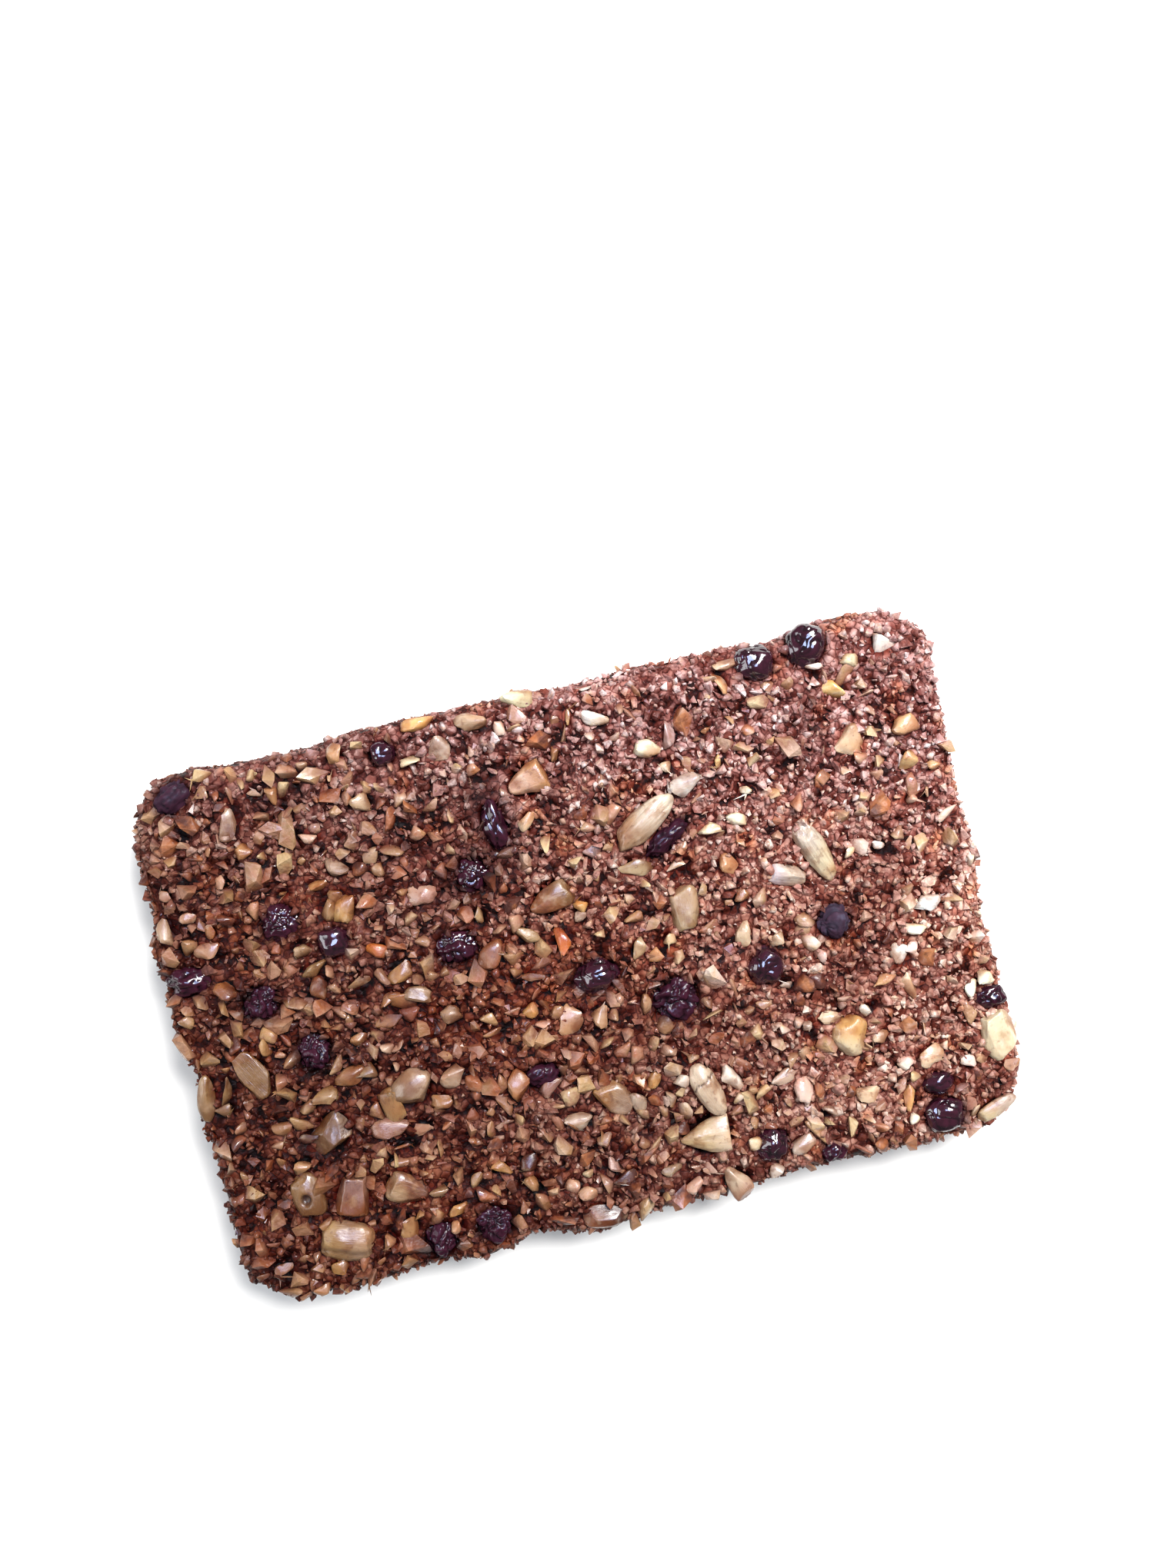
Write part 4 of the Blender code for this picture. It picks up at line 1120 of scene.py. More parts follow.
@dataclass(frozen=True)
class BerryFinish:
    """The berries' finish: purple black skin, glossy or dull by the attribute shine.

    Attributes:
        name: The material's name.
        deep: The colour in the folds, painted shade.
        purple: The colour between them.
        bloom: The colour of the dust on a dull one.
    """

    name: str = "berry_skin"
    deep: Colour = srgb(14, 4, 8)
    purple: Colour = srgb(52, 17, 32)
    bloom: Colour = srgb(70, 66, 84)

    def build(self) -> Material:
        """Makes the material.

        Returns:
            The material.
        """
        material, tree, shader = new_material(self.name)
        place = add_node(tree, "ShaderNodeTexCoord").outputs["Object"]
        shine = add_attribute(tree, "shine")
        # painted shade: the skin is darkest in its creases and purple between them
        colour = add_mix(tree, add_attribute(tree, "fold"), self.deep, self.purple)
        dusty = add_range(tree, add_noise(tree, place, 0.7 * MM, 3.0), 0.52, 0.74)
        dull = add_math(tree, "POWER", minus(tree, 1.0, shine), 4.0)
        dull = times(tree, dull, plus(tree, times(tree, dusty, 0.5), 0.3))
        wrinkle = add_noise(tree, place, 0.9 * MM, 2.0)
        fine = times(tree, add_noise(tree, place, 0.12 * MM, 2.0), 0.08)
        strength = add_range(tree, shine, 0.2, 1.0, 0.9, 0.25)
        bump = {"Height": plus(tree, wrinkle, fine), "Distance": 0.10 * MM, "Strength": strength}
        looks = {
            "Base Color": add_mix(tree, dull, colour, self.bloom),
            "Roughness": add_range(tree, shine, 0.0, 1.0, 0.55, 0.26),
            "Coat Weight": add_math(tree, "POWER", shine, 3.0),
            "Coat Roughness": 0.11,
            "Coat IOR": 1.75,
            "Specular IOR Level": 0.09,
            "Specular Tint": (0.72, 0.80, 1.0, 1.0),
            "Normal": add_node(tree, "ShaderNodeBump", bump).outputs[0],
        }
        feed(tree, shader, looks)
        return material


@dataclass(frozen=True)
class FloorFinish:
    """The studio floor's finish."""

    name: str = "studio_floor"
    colour: Colour = srgb(236, 236, 236)

    def build(self) -> Material:
        """Makes the material.

        Returns:
            The material.
        """
        material, tree, shader = new_material(self.name)
        feed(tree, shader, {"Base Color": self.colour, "Roughness": 0.9})
        return material


# painted shade and light: the core's colours follow lump, darkest in hollows and palest on peaks
CORE_CRUMB = CrumbFinish(
    name="crumb_core",
    share="lump",
    stops=(
        (0.0, srgb(32, 9, 5)),
        (0.3, srgb(86, 39, 30)),
        (0.5, srgb(122, 77, 70)),
        (0.75, srgb(156, 113, 103)),
        (1.0, srgb(180, 143, 132)),
    ),
    bump=0.08 * MM,
    coat_roughness=0.20,
    specular=0.06,
    wetness=0.5,
    grain=0.95 * MM,
    grain_share=0.65,
    grain_rise=0.22 * MM,
    seam=0.8,
)
LOOSE_CRUMB = CrumbFinish(
    name="crumb_grains",
    share="tone",
    stops=(
        (0.0, srgb(104, 52, 42)),
        (0.22, srgb(146, 100, 92)),
        (0.45, srgb(170, 129, 120)),
        (0.66, srgb(174, 136, 126)),
        (0.80, srgb(178, 142, 121)),
        (0.91, srgb(180, 149, 139)),
        (1.0, srgb(194, 171, 163)),
    ),
    coat_roughness=0.11,
    specular=0.16,
    wetness=0.95,
)
LOOSE_CHIPS = CrumbFinish(
    name="crumb_chips",
    share="tone",
    stops=(
        (0.0, srgb(112, 64, 48)),
        (0.12, srgb(186, 122, 78)),
        (0.25, srgb(204, 164, 146)),
        (0.38, srgb(184, 154, 114)),
        (0.50, srgb(212, 182, 164)),
        (0.62, srgb(174, 136, 112)),
        (0.74, srgb(214, 196, 160)),
        (0.85, srgb(208, 178, 134)),
        (1.0, srgb(230, 216, 208)),
    ),
    bump=0.09 * MM,
    coat_roughness=0.10,
    wetness=1.3,
    grain=0.9 * MM,
    grain_share=0.0,
    grain_rise=0.06 * MM,
    seam=0.0,
    patchiness=0.55,
    clustering=0.0,
    rim=0.65,
    region="Shade",
)


# ---------------------------------------------------------------- forms


def broken_chip(dice: random.Random, corners: int, softness: float) -> Mesh:
    """An angular broken piece of radius 1: the hull of scattered corners, with softened edges.

    Args:
        dice: The seeded draws.
        corners: How many corners are scattered.
        softness: How wide the softened edges are, and 0 leaves them sharp.

    Returns:
        The mesh.
    """
    shape = bmesh.new()
    for _ in range(corners):
        way = Vector([dice.gauss(0, 1) for _ in range(3)]).normalized()
        shape.verts.new(way * dice.uniform(0.8, 1.1))
    hull = bmesh.ops.convex_hull(shape, input=shape.verts[:])
    inside = [piece for piece in hull["geom_interior"] if isinstance(piece, bmesh.types.BMVert)]
    bmesh.ops.delete(shape, geom=inside, context="VERTS")
    if softness:
        flat = math.radians(16)
        bmesh.ops.dissolve_limit(shape, angle_limit=flat, verts=shape.verts[:], edges=shape.edges[:])
        edges = shape.edges[:]
        bmesh.ops.bevel(shape, geom=edges, offset=softness, segments=1, profile=0.5, affect="EDGES")
        bmesh.ops.triangulate(shape, faces=shape.faces[:])
    bmesh.ops.recalc_face_normals(shape, faces=shape.faces[:])
    mesh = new_mesh("broken_chip", shape)
    if softness:
        mesh.shade_smooth()
        mesh.set_sharp_from_angle(angle=math.radians(50))
    return mesh


def noise_shift(dice: random.Random) -> Vector:
    """A move that makes a piece's noise unlike any other's."""
    return Vector([dice.uniform(-50, 50) for _ in range(3)])


def roughen(mesh: Mesh, dice: random.Random, depth: float) -> None:
    """Splits each face of a form of radius 1 in four and dents it, as broken seed is.

    Args:
        mesh: The form's mesh, which is changed.
        dice: The seeded draws.
        depth: How deep the dents are, as a share of the radius.
    """
    offset = noise_shift(dice)
    shape = bmesh.new()
    shape.from_mesh(mesh)
    bmesh.ops.subdivide_edges(shape, edges=shape.edges[:], cuts=1, use_grid_fill=True)
    for vertex in shape.verts:
        place = vertex.co.copy()
        dent = noise.noise(place * 1.8 + offset) + 0.5 * noise.noise(place * 4.4 - offset)
        vertex.co = place * (1 + depth * dent)
    shape.to_mesh(mesh)
    shape.free()
    mesh.shade_smooth()
    mesh.set_sharp_from_angle(angle=math.radians(46))


def bent_strip(dice: random.Random, bend: float, segments: int) -> Mesh:
    """A thin strip of skin, bent along its length, with pointed ends.

    Args:
        dice: The seeded draws.
        bend: The angle from end to end in radians.
        segments: How many stretches it has.

    Returns:
        A closed mesh, 2 long before it is bent, 0.6 wide and thin.
    """
    shape = bmesh.new()
    bmesh.ops.create_cube(shape, size=2.0)
    for step in range(1, segments):
        everything = shape.verts[:] + shape.edges[:] + shape.faces[:]
        place = (2 * step / segments - 1, 0, 0)
        bmesh.ops.bisect_plane(shape, geom=everything, plane_co=place, plane_no=(1, 0, 0))
    radius = 2 / bend
    for vertex in shape.verts:
        along, across, up = vertex.co
        across *= 0.30 * math.cos(along * 1.25) * dice.uniform(0.9, 1.1)
        reach = radius + up * 0.07
        angle = along * bend / 2
        vertex.co = (reach * math.sin(angle), across, reach * math.cos(angle) - radius)
    bmesh.ops.triangulate(shape, faces=shape.faces[:])
    bmesh.ops.recalc_face_normals(shape, faces=shape.faces[:])
    mesh = new_mesh("strip", shape)
    mesh.shade_smooth()
    mesh.set_sharp_from_angle(angle=math.radians(50))
    return mesh


def new_masters(name: str, meshes: list[Mesh]) -> bpy.types.Collection:
    """Gathers the forms from which scattered pieces are drawn.

    Args:
        name: The collection's name.
        meshes: The forms.

    Returns:
        A collection of one object for each form.
    """
    collection = bpy.data.collections.new(name)
    bpy.context.scene.collection.children.link(collection)
    for number, mesh in enumerate(meshes):
        master = bpy.data.objects.new(f"{name}_{number:02d}", mesh)
        collection.objects.link(master)
    return collection


def discard_masters(collection: bpy.types.Collection) -> None:
    """Removes a collection and the objects in it.

    Args:
        collection: The collection.
    """
    for master in list(collection.objects):
        discard(master)
    bpy.data.collections.remove(collection)


def keep_inside(tree: Tree, entry: Node, geometry: Socket) -> Socket:
    """Holds the geometry between two corners.

    Args:
        tree: The geometry tree.
        entry: Its input node, with the corners Lowest and Highest.
        geometry: The geometry.

    Returns:
        The geometry with no point beyond them.
    """
    place = add_node(tree, "GeometryNodeInputPosition").outputs[0]
    kept = add_vector(tree, "MAXIMUM", place, entry.outputs["Lowest"])
    kept = add_vector(tree, "MINIMUM", kept, entry.outputs["Highest"])
    return add_node(tree, "GeometryNodeSetPosition", {"Geometry": geometry, "Position": kept}).outputs[0]


class ScatterTree:
    """The Geometry Nodes tree that presses small pieces into a surface."""

    INPUTS = {
        "Geometry": "Geometry",
        "Room": "String",
        "Spacing": "Float",
        "Seed": "Int",
        "Smallest": "Float",
        "Largest": "Float",
        "Lean": "Float",
        "Sink": "Float",
        "Kinds": "Int",
        "Pieces": "Collection",
        "Lowest": "Vector",
        "Highest": "Vector",
        "Finish": "Material",
    }
    CROWDING = 2.2  # points tried for each square of the spacing
    SMALLNESS = 1.7  # the power that makes small pieces the more frequent ones
    STRETCH = ((0.8, 0.8, 0.7), (1.2, 1.1, 1.0))  # the least and the most along each axis

    def __init__(self) -> None:
        """Builds the tree."""
        self.tree = new_group("press_in", "GeometryNodeTree", self.INPUTS, {"Geometry": "Geometry"})
        self.entry = add_node(self.tree, "NodeGroupInput")
        self.fill()

    def given(self, name: str) -> Socket:
        """The group's input of this name."""
        return self.entry.outputs[name]

    def draw(self, kind: str, low: object, high: object, offset: int) -> Socket:
        """A random value for each point.

        Args:
            kind: FLOAT, INT or FLOAT_VECTOR.
            low: The lowest value or its socket.
            high: The highest value or its socket.
            offset: What sets these draws apart from others with the same seed.

        Returns:
            The value's socket.
        """
        first, output = {"FLOAT_VECTOR": (0, 0), "FLOAT": (2, 1), "INT": (4, 2)}[kind]
        seed = add_math(self.tree, "ADD", self.given("Seed"), float(offset))
        inputs = {first: low, first + 1: high, 8: seed}
        return add_node(self.tree, "FunctionNodeRandomValue", inputs, data_type=kind).outputs[output]

    def fill(self) -> None:
        """Puts the nodes in and links them."""
        tree = self.tree
        named = {"Name": self.given("Room")}
        room = add_node(tree, "GeometryNodeInputNamedAttribute", named, data_type="FLOAT").outputs[0]
        spacing = self.given("Spacing")
        inputs = {
            "Mesh": self.given("Geometry"),
            "Distance Min": spacing,
            "Density Max": add_math(tree, "DIVIDE", self.CROWDING, times(tree, spacing, spacing)),
            "Density Factor": room,
            "Seed": self.given("Seed"),
        }
        kind = "GeometryNodeDistributePointsOnFaces"
        spread = add_node(tree, kind, inputs, distribute_method="POISSON").outputs
        share = add_math(tree, "POWER", self.draw("FLOAT", 0.0, 1.0, 1), self.SMALLNESS)
        smallest = self.given("Smallest")
        size = plus(tree, smallest, times(tree, share, minus(tree, self.given("Largest"), smallest)))
        depth = times(tree, times(tree, size, self.given("Sink")), -1.0)
        inwards = add_vector(tree, "SCALE", spread["Normal"], depth)
        inputs = {"Geometry": spread["Points"], "Offset": inwards}
        sunk = add_node(tree, "GeometryNodeSetPosition", inputs)
        lean = self.given("Lean")
        back = times(tree, lean, -1.0)
        lowest = add_node(tree, "ShaderNodeCombineXYZ", {0: back, 1: back, 2: 0.0}).outputs[0]
        highest = add_node(tree, "ShaderNodeCombineXYZ", {0: lean, 1: lean, 2: math.tau}).outputs[0]
        turns = {0: self.draw("FLOAT_VECTOR", lowest, highest, 2)}
        turn = add_node(tree, "FunctionNodeEulerToRotation", turns).outputs[0]
        inputs = {0: spread["Rotation"], 1: turn}
        rotation = add_node(tree, "FunctionNodeRotateRotation", inputs, rotation_space="LOCAL").outputs[0]
        stretch = self.draw("FLOAT_VECTOR", *self.STRETCH, 3)
        inputs = {"Collection": self.given("Pieces"), "Separate Children": True, "Reset Children": True}
        picked = add_node(tree, "GeometryNodeCollectionInfo", inputs)
        last_kind = minus(tree, self.given("Kinds"), 1.0)
        inputs = {
            "Points": sunk.outputs[0],
            "Instance": picked.outputs[0],
            "Pick Instance": True,
            "Instance Index": self.draw("INT", 0, last_kind, 4),
            "Rotation": rotation,
            "Scale": add_vector(tree, "SCALE", stretch, size),
        }
        placed = add_node(tree, "GeometryNodeInstanceOnPoints", inputs)
        inputs = {"Geometry": placed.outputs[0], "Name": "tone", "Value": self.draw("FLOAT", 0.0, 1.0, 5)}
        kind = "GeometryNodeStoreNamedAttribute"
        toned = add_node(tree, kind, inputs, data_type="FLOAT", domain="INSTANCE")
        real = add_node(tree, "GeometryNodeRealizeInstances", {0: toned.outputs[0]})
        inside = keep_inside(tree, self.entry, real.outputs[0])
        inputs = {"Geometry": inside, "Material": self.given("Finish")}
        dressed = add_node(tree, "GeometryNodeSetMaterial", inputs)
        add_node(tree, "NodeGroupOutput", {0: dressed.outputs[0]})


def set_inputs(modifier: bpy.types.NodesModifier, values: dict[str, object]) -> None:
    """Sets a Geometry Nodes modifier's inputs by their identifiers.

    Args:
        modifier: The modifier.
        values: The inputs' names and values.
    """
    for item in modifier.node_group.interface.items_tree:
        if item.item_type == "SOCKET" and item.in_out == "INPUT" and item.name in values:
            modifier[item.identifier] = values[item.name]


class Form(Enum):
    """What a scattered piece is."""

    LUMP = "lump"
    GRAIN = "grain"
    CHIP = "chip"
    SKIN = "skin"


@dataclass(frozen=True)
class Scatter:
    """One kind of small piece pressed into the crumb, with sizes in mm.

    Attributes:
        name: The piece's name.
        room: The core's attribute that says where there is room.
        spacing: The least distance between two.
        smallest: The smallest one's radius.
        largest: The largest one's radius.
        sink: How far the middle lies under the surface, as a share of the radius.
        lean: How far one may tip from the surface, in radians.
        seed: The seed of its draws.
        form: What it is.
        count: How many forms its pieces are drawn from.
        corners: About how many corners a grain is made from.
    """

    name: str
    room: str
    spacing: float
    smallest: float
    largest: float
    sink: float
    lean: float
    seed: int
    form: Form
    count: int
    corners: int = 0

    def new_forms(self) -> list[Mesh]:
        """Makes the forms that the pieces are drawn from, of radius 1.

        Returns:
            Lumps, all softened, grains, every second one rounded, chips, some long or flat and every second
            one softened, or thin bent skins.
        """
        dice = random.Random(self.seed)
        forms = []
        for number in range(self.count):
            if self.form is Form.SKIN:
                mesh = bent_strip(dice, dice.uniform(0.5, 2.2), 4)
            elif self.form is Form.LUMP:
                mesh = broken_chip(dice, dice.randint(9, 13), 0.12)
            elif self.form is Form.GRAIN:
                mesh = broken_chip(dice, self.corners + dice.randint(-1, 1), 0.0)
                if number % 2 == 0:
                    mesh.shade_smooth()
            else:
                mesh = broken_chip(dice, dice.randint(9, 13), 0.10 * (number % 2))
                sizes = (dice.uniform(0.9, 1.35), dice.uniform(0.7, 1.0), dice.uniform(0.5, 0.8))
                mesh.transform(Matrix.Diagonal((*sizes, 1)))
            forms.append(mesh)
        return forms

    def build(self, surface: Piece, tree: ScatterTree, finish: Material | None, box: Box) -> Piece:
        """Scatters the pieces over the surface.

        Args:
            surface: The crumb's core.
            tree: The tree that presses pieces in.
            finish: Their material.
            box: The lowest and highest corner that they may reach.

        Returns:
            One plain mesh object of them all.
        """
        masters = new_masters(self.name + "_form", self.new_forms())
        piece = new_piece(self.name, surface.data.copy())
        modifier = piece.modifiers.new("press in", "NODES")
        modifier.node_group = tree.tree
        inputs = {
            "Room": self.room,
            "Spacing": self.spacing * MM,
            "Seed": self.seed,
            "Smallest": self.smallest * MM,
            "Largest": self.largest * MM,
            "Lean": self.lean,
            "Sink": self.sink,
            "Kinds": self.count,
            "Pieces": masters,
            "Lowest": box[0][:],
            "Highest": box[1][:],
            "Finish": finish,
        }
        set_inputs(modifier, inputs)
        settle(piece)
        discard_masters(masters)
        return piece


# What is scattered, in the order of Scatter's attributes: the lumps of the fused crumb,
LUMPS = (
    Scatter("lump_large", "room", 2.1, 0.75, 1.30, 0.34, 0.9, 41, Form.LUMP, 12),
    Scatter("lump_middle", "room", 1.15, 0.45, 0.80, 0.10, 3.1, 42, Form.LUMP, 12),
    Scatter("lump_small", "room", 0.80, 0.28, 0.48, 0.0, 3.1, 43, Form.LUMP, 12),
    Scatter("lump_under", "room_under", 1.9, 0.5, 1.0, 0.3, 0.5, 44, Form.LUMP, 12),
)
# and the grains, chips and skins on it.
LOOSE_PIECES = (
    Scatter("crumb_coarse_top", "room_top", 0.95, 0.48, 1.05, 0.05, 3.1, 11, Form.GRAIN, 24, 10),
    Scatter("crumb_middle_top", "room_top", 0.72, 0.28, 0.58, -0.1, 3.1, 12, Form.GRAIN, 20, 8),
    Scatter("crumb_fine_top", "room_top", 0.95, 0.14, 0.30, -0.4, 3.1, 16, Form.GRAIN, 16, 7),
    Scatter("crumb_coarse_side", "room_side", 1.15, 0.45, 0.95, 0.6, 3.1, 13, Form.GRAIN, 20, 10),
    Scatter("crumb_fine_side", "room_side", 0.95, 0.20, 0.48, 0.45, 3.1, 14, Form.GRAIN, 14, 8),
    Scatter("crumb_grains_under", "room_under", 1.3, 0.30, 0.7, 0.15, 3.1, 15, Form.GRAIN, 14, 8),
    Scatter("crumb_chips_top", "room_chips", 1.5, 0.85, 1.95, -0.08, 0.8, 21, Form.CHIP, 20),
    Scatter("crumb_chips_side", "room_side", 2.2, 0.75, 1.45, 0.50, 0.35, 22, Form.CHIP, 20),
    Scatter("crumb_chips_under", "room_under", 2.8, 0.8, 1.5, 0.2, 0.3, 23, Form.CHIP, 20),
    Scatter("crumb_skins", "room", 4.6, 0.6, 1.4, 0.0, 1.2, 24, Form.SKIN, 8),
)


@dataclass
class PressedCrumb:
    """The pressed crumb: lumps fused over the bar's solid in one skin, cut in blocks side by side.

    Attributes:
        base_voxel: The mesh width of the skin that carries the lumps, in metres.
        voxel: The mesh width of the fused crumb.
        shrink: How far the skin lies under the bar's surface, so that the lumps reach it.
        lump_margin: How far lumps stay from the pieces in the top, as a share of their size.
        cuts: The x of the planes between the blocks.
        pore_spacing: About how far apart the open pores are, in metres.
        pore_edge: The noise values between which a pore closes.
        chip_gap: How much longer and wider than a seat the place is that scattered chips leave free.
        floor_height: Up to what height a point counts as underneath.
        sinking: The heights between which the skin starts to sink under seats.
        seating: The heights between which seats start to push lumps aside.
        relief: How far below and above its neighbours a point is darkest and palest, as painted shade in
            hollows and painted light on peaks.
    """

    base_voxel: float = 0.60 * MM
    voxel: float = 0.42 * MM
    shrink: float = 0.60 * MM
    lump_margin: float = 0.12
    cuts: tuple[float, ...] = (-17.0 * MM, 15.5 * MM)
    pore_spacing: float = 1.5 * MM
    pore_edge: tuple[float, float] = (-0.34, -0.10)
    chip_gap: float = 0.9 * MM
    floor_height: float = 0.9 * MM
    sinking: tuple[float, float] = (5.5 * MM, 7.0 * MM)
    seating: tuple[float, float] = (4.5 * MM, 6.0 * MM)
    relief: tuple[float, float] = (-0.22 * MM, 0.24 * MM)

    def join_solids(self, nodes: dict[str, Piece]) -> Piece:
        """Joins the bar's solids and welds their points.

        Args:
            nodes: The solids by name.

        Returns:
            One object of them all.
        """
        shape = bmesh.new()
        for node in nodes.values():
            shape.from_mesh(node.data)
        bmesh.ops.remove_doubles(shape, verts=shape.verts[:], dist=1e-6)
        return new_piece("crumb_base", new_mesh("crumb_base", shape))

    def skin(self, piece: Piece, voxel: float, softness: float) -> None:
        """Lays one even skin over the piece and keeps its outer surface.

        Args:
            piece: The piece.
            voxel: The skin's mesh width in metres.
            softness: How much the skin is smoothed, from 0 to 1.
        """
        remesh = piece.modifiers.new("skin", "REMESH")
        remesh.mode = "VOXEL"
        remesh.voxel_size = voxel
        soften = piece.modifiers.new("soften", "SMOOTH")
        soften.factor = softness
        soften.iterations = 2
        settle(piece)
        shape = bmesh.new()
        shape.from_mesh(piece.data)
        seen: set[int] = set()
        groups = []
        for start in shape.faces:
            if start.index in seen:
                continue
            group = [start]
            seen.add(start.index)
            for face in group:
                for edge in face.edges:
                    for other in edge.link_faces:
                        if other.index not in seen:
                            seen.add(other.index)
                            group.append(other)
            groups.append(group)
        largest = max(groups, key=len)
        inner = [face for group in groups if group is not largest for face in group]
        bmesh.ops.delete(shape, geom=inner, context="FACES")
        shape.to_mesh(piece.data)
        shape.free()

    def sink(self, piece: Piece, seats: list[Seat]) -> None:
        """Moves the skin in by the shrink, and deeper under each piece that sits in it.

        Args:
            piece: The skin.
            seats: Where pieces sit in the top.
        """
        points = points_of(piece.data)
        drop = np.zeros(len(points))
        upper = smooth_step(points[:, 2], *self.sinking)
        for seat in seats:
            drop = np.maximum(drop, seat.drop * smooth_step(seat.distance(points), 1.12, 0.72))
        inwards = self.shrink * smooth_step(points[:, 2], 0.0, 0.8 * MM)
        points -= normals_of(piece.data) * inwards[:, None]
        points[:, 2] -= drop * upper
        piece.data.vertices.foreach_set("co", points.ravel())

    def note_room(self, piece: Piece, seats: list[Seat], margin: float) -> None:
        """Stores where there is room: on the top, on the sides and underneath.

        Args:
            piece: The skin.
            seats: Where pieces sit in the top.
            margin: How far the room stays from each piece, as a share of its size.
        """
        points = points_of(piece.data)
        facing = normals_of(piece.data)[:, 2]
        room = np.ones(len(points))
        wide = np.ones(len(points))
        upper = smooth_step(points[:, 2], *self.seating)
        for seat in seats:
            start = seat.clear + margin
            free = smooth_step(seat.distance(points), start, start + 0.12)
            room = np.minimum(room, np.maximum(free, 1 - upper))
            wide = np.minimum(wide, smooth_step(seat.distance(points, self.chip_gap), 0.94, 1.06))
        above = points[:, 2] > self.floor_height
        lumpy = np.array([noise.noise(Vector(point) / self.pore_spacing) for point in points.tolist()])
        fine = smooth_step(points[:, 0] + 0.8 * points[:, 1], 0.0, 34 * MM)
        closed = 0.12 + 0.88 * smooth_step(lumpy + 0.16 * fine, *self.pore_edge)
        store(piece.data, "room", room * above)
        store(piece.data, "room_top", room * above * closed * smooth_step(facing, 0.15, 0.4))
        dense = 0.30 + 0.70 * smooth_step(points[:, 0] + 0.9 * points[:, 1], 34 * MM, -12 * MM)
        store(piece.data, "room_chips", wide * dense * above * smooth_step(facing, 0.5, 0.7))
        store(piece.data, "room_side", room * above * smooth_step(facing, 0.6, 0.3))
        store(piece.data, "room_under", (~above).astype(np.float32))

    def add_lumps(self, piece: Piece, tree: ScatterTree, box: Box) -> None:
        """Joins the lumps to the skin.

        Args:
            piece: The skin.
            tree: The tree that presses pieces in.
            box: The lowest and highest corner that they may reach.
        """
        joined = bmesh.new()
        joined.from_mesh(piece.data)
        for scatter in LUMPS:
            lumps = scatter.build(piece, tree, None, box)
            joined.from_mesh(lumps.data)
            discard(lumps)
        joined.to_mesh(piece.data)
        joined.free()

    def shade_tree(self) -> Tree:
        """Builds the tree that stores how far each point stands out from those round it, which the core's
        colours follow as painted shade and light.

        Returns:
            A geometry group that adds the attribute lump.
        """
        inputs = {"Geometry": "Geometry", "Pit": "Float", "Peak": "Float", "Lowest": "Vector"}
        inputs["Highest"] = "Vector"
        tree = new_group("crumb_shade", "GeometryNodeTree", inputs, {"Geometry": "Geometry"})
        entry = add_node(tree, "NodeGroupInput")
        place = add_node(tree, "GeometryNodeInputPosition").outputs[0]
        kind = "GeometryNodeBlurAttribute"
        around = add_node(tree, kind, {"Value": place, "Iterations": 12}, data_type="FLOAT_VECTOR")
        vector = next(socket for socket in around.inputs if socket.enabled and socket.type == "VECTOR")
        tree.links.new(place, vector)
        blurred = next(socket for socket in around.outputs if socket.enabled)
        normal = add_node(tree, "GeometryNodeInputNormal").outputs[0]
        inputs = {0: add_vector(tree, "SUBTRACT", place, blurred), 1: normal}
        apart = add_node(tree, "ShaderNodeVectorMath", inputs, operation="DOT_PRODUCT").outputs["Value"]
        inputs = {0: apart, 1: entry.outputs["Pit"], 2: entry.outputs["Peak"], 3: 0.0, 4: 1.0}
        lump = add_node(tree, "ShaderNodeMapRange", inputs).outputs[0]
        inputs = {"Geometry": entry.outputs["Geometry"], "Name": "lump", "Value": lump}
        kind = "GeometryNodeStoreNamedAttribute"
        noted = add_node(tree, kind, inputs, data_type="FLOAT", domain="POINT")
        inside = keep_inside(tree, entry, noted.outputs[0])
        smooth = add_node(tree, "GeometryNodeSetShadeSmooth", {"Geometry": inside})
        add_node(tree, "NodeGroupOutput", {0: smooth.outputs[0]})
        return tree

    def build(
        self, nodes: dict[str, Piece], seats: list[Seat], tree: ScatterTree, box: Box
    ) -> tuple[Piece, "Ground"]:
        """Makes the fused crumb in one piece.

        Args:
            nodes: The bar's solids by name.
            seats: Where pieces sit in the top.
            tree: The tree that presses pieces in.
            box: The lowest and highest corner that it may reach.

        Returns:
            A plain mesh object with the attributes that grains and colours need, and the ground's heights.
        """
        piece = self.join_solids(nodes)
        self.skin(piece, self.base_voxel, 0.5)
        ground = Ground(piece)
        self.sink(piece, seats)
        self.note_room(piece, seats, self.lump_margin)
        self.add_lumps(piece, tree, box)
        self.skin(piece, self.voxel, 0.25)
        modifier = piece.modifiers.new("shade", "NODES")
        modifier.node_group = self.shade_tree()
        pit, peak = self.relief
        set_inputs(modifier, {"Pit": pit, "Peak": peak, "Lowest": box[0][:], "Highest": box[1][:]})
        settle(piece)
        self.note_room(piece, seats, 0.0)
        return piece, ground

    def cut_blocks(self, piece: Piece, finish: Material) -> list[Piece]:
        """Cuts the fused crumb at its planes, each block closed, and removes the whole.

        Args:
            piece: The fused crumb.
            finish: The blocks' material.

        Returns:
            The blocks, from left to right.
        """
        edges = (-1.0, *self.cuts, 1.0)  # from one metre beyond the bar to the other
        names = ("crumb_left", "crumb_middle", "crumb_right")
        blocks = []
        for name, low, high in zip(names, edges, edges[1:]):
            shape = bmesh.new()
            shape.from_mesh(piece.data)
            for place, outward in ((low, -1), (high, 1)):
                everything = shape.verts[:] + shape.edges[:] + shape.faces[:]
                plane = {"plane_co": (place, 0, 0), "plane_no": (outward, 0, 0)}
                cut = bmesh.ops.bisect_plane(shape, geom=everything, clear_outer=True, **plane)
                rim = [edge for edge in cut["geom_cut"] if isinstance(edge, bmesh.types.BMEdge)]
                if rim:
                    bmesh.ops.triangle_fill(shape, edges=rim, use_beauty=False, normal=(outward, 0, 0))
                    for edge in rim:
                        edge.smooth = False
            blocks.append(new_piece(name, new_mesh(name, shape), finish))
        discard(piece)
        return blocks


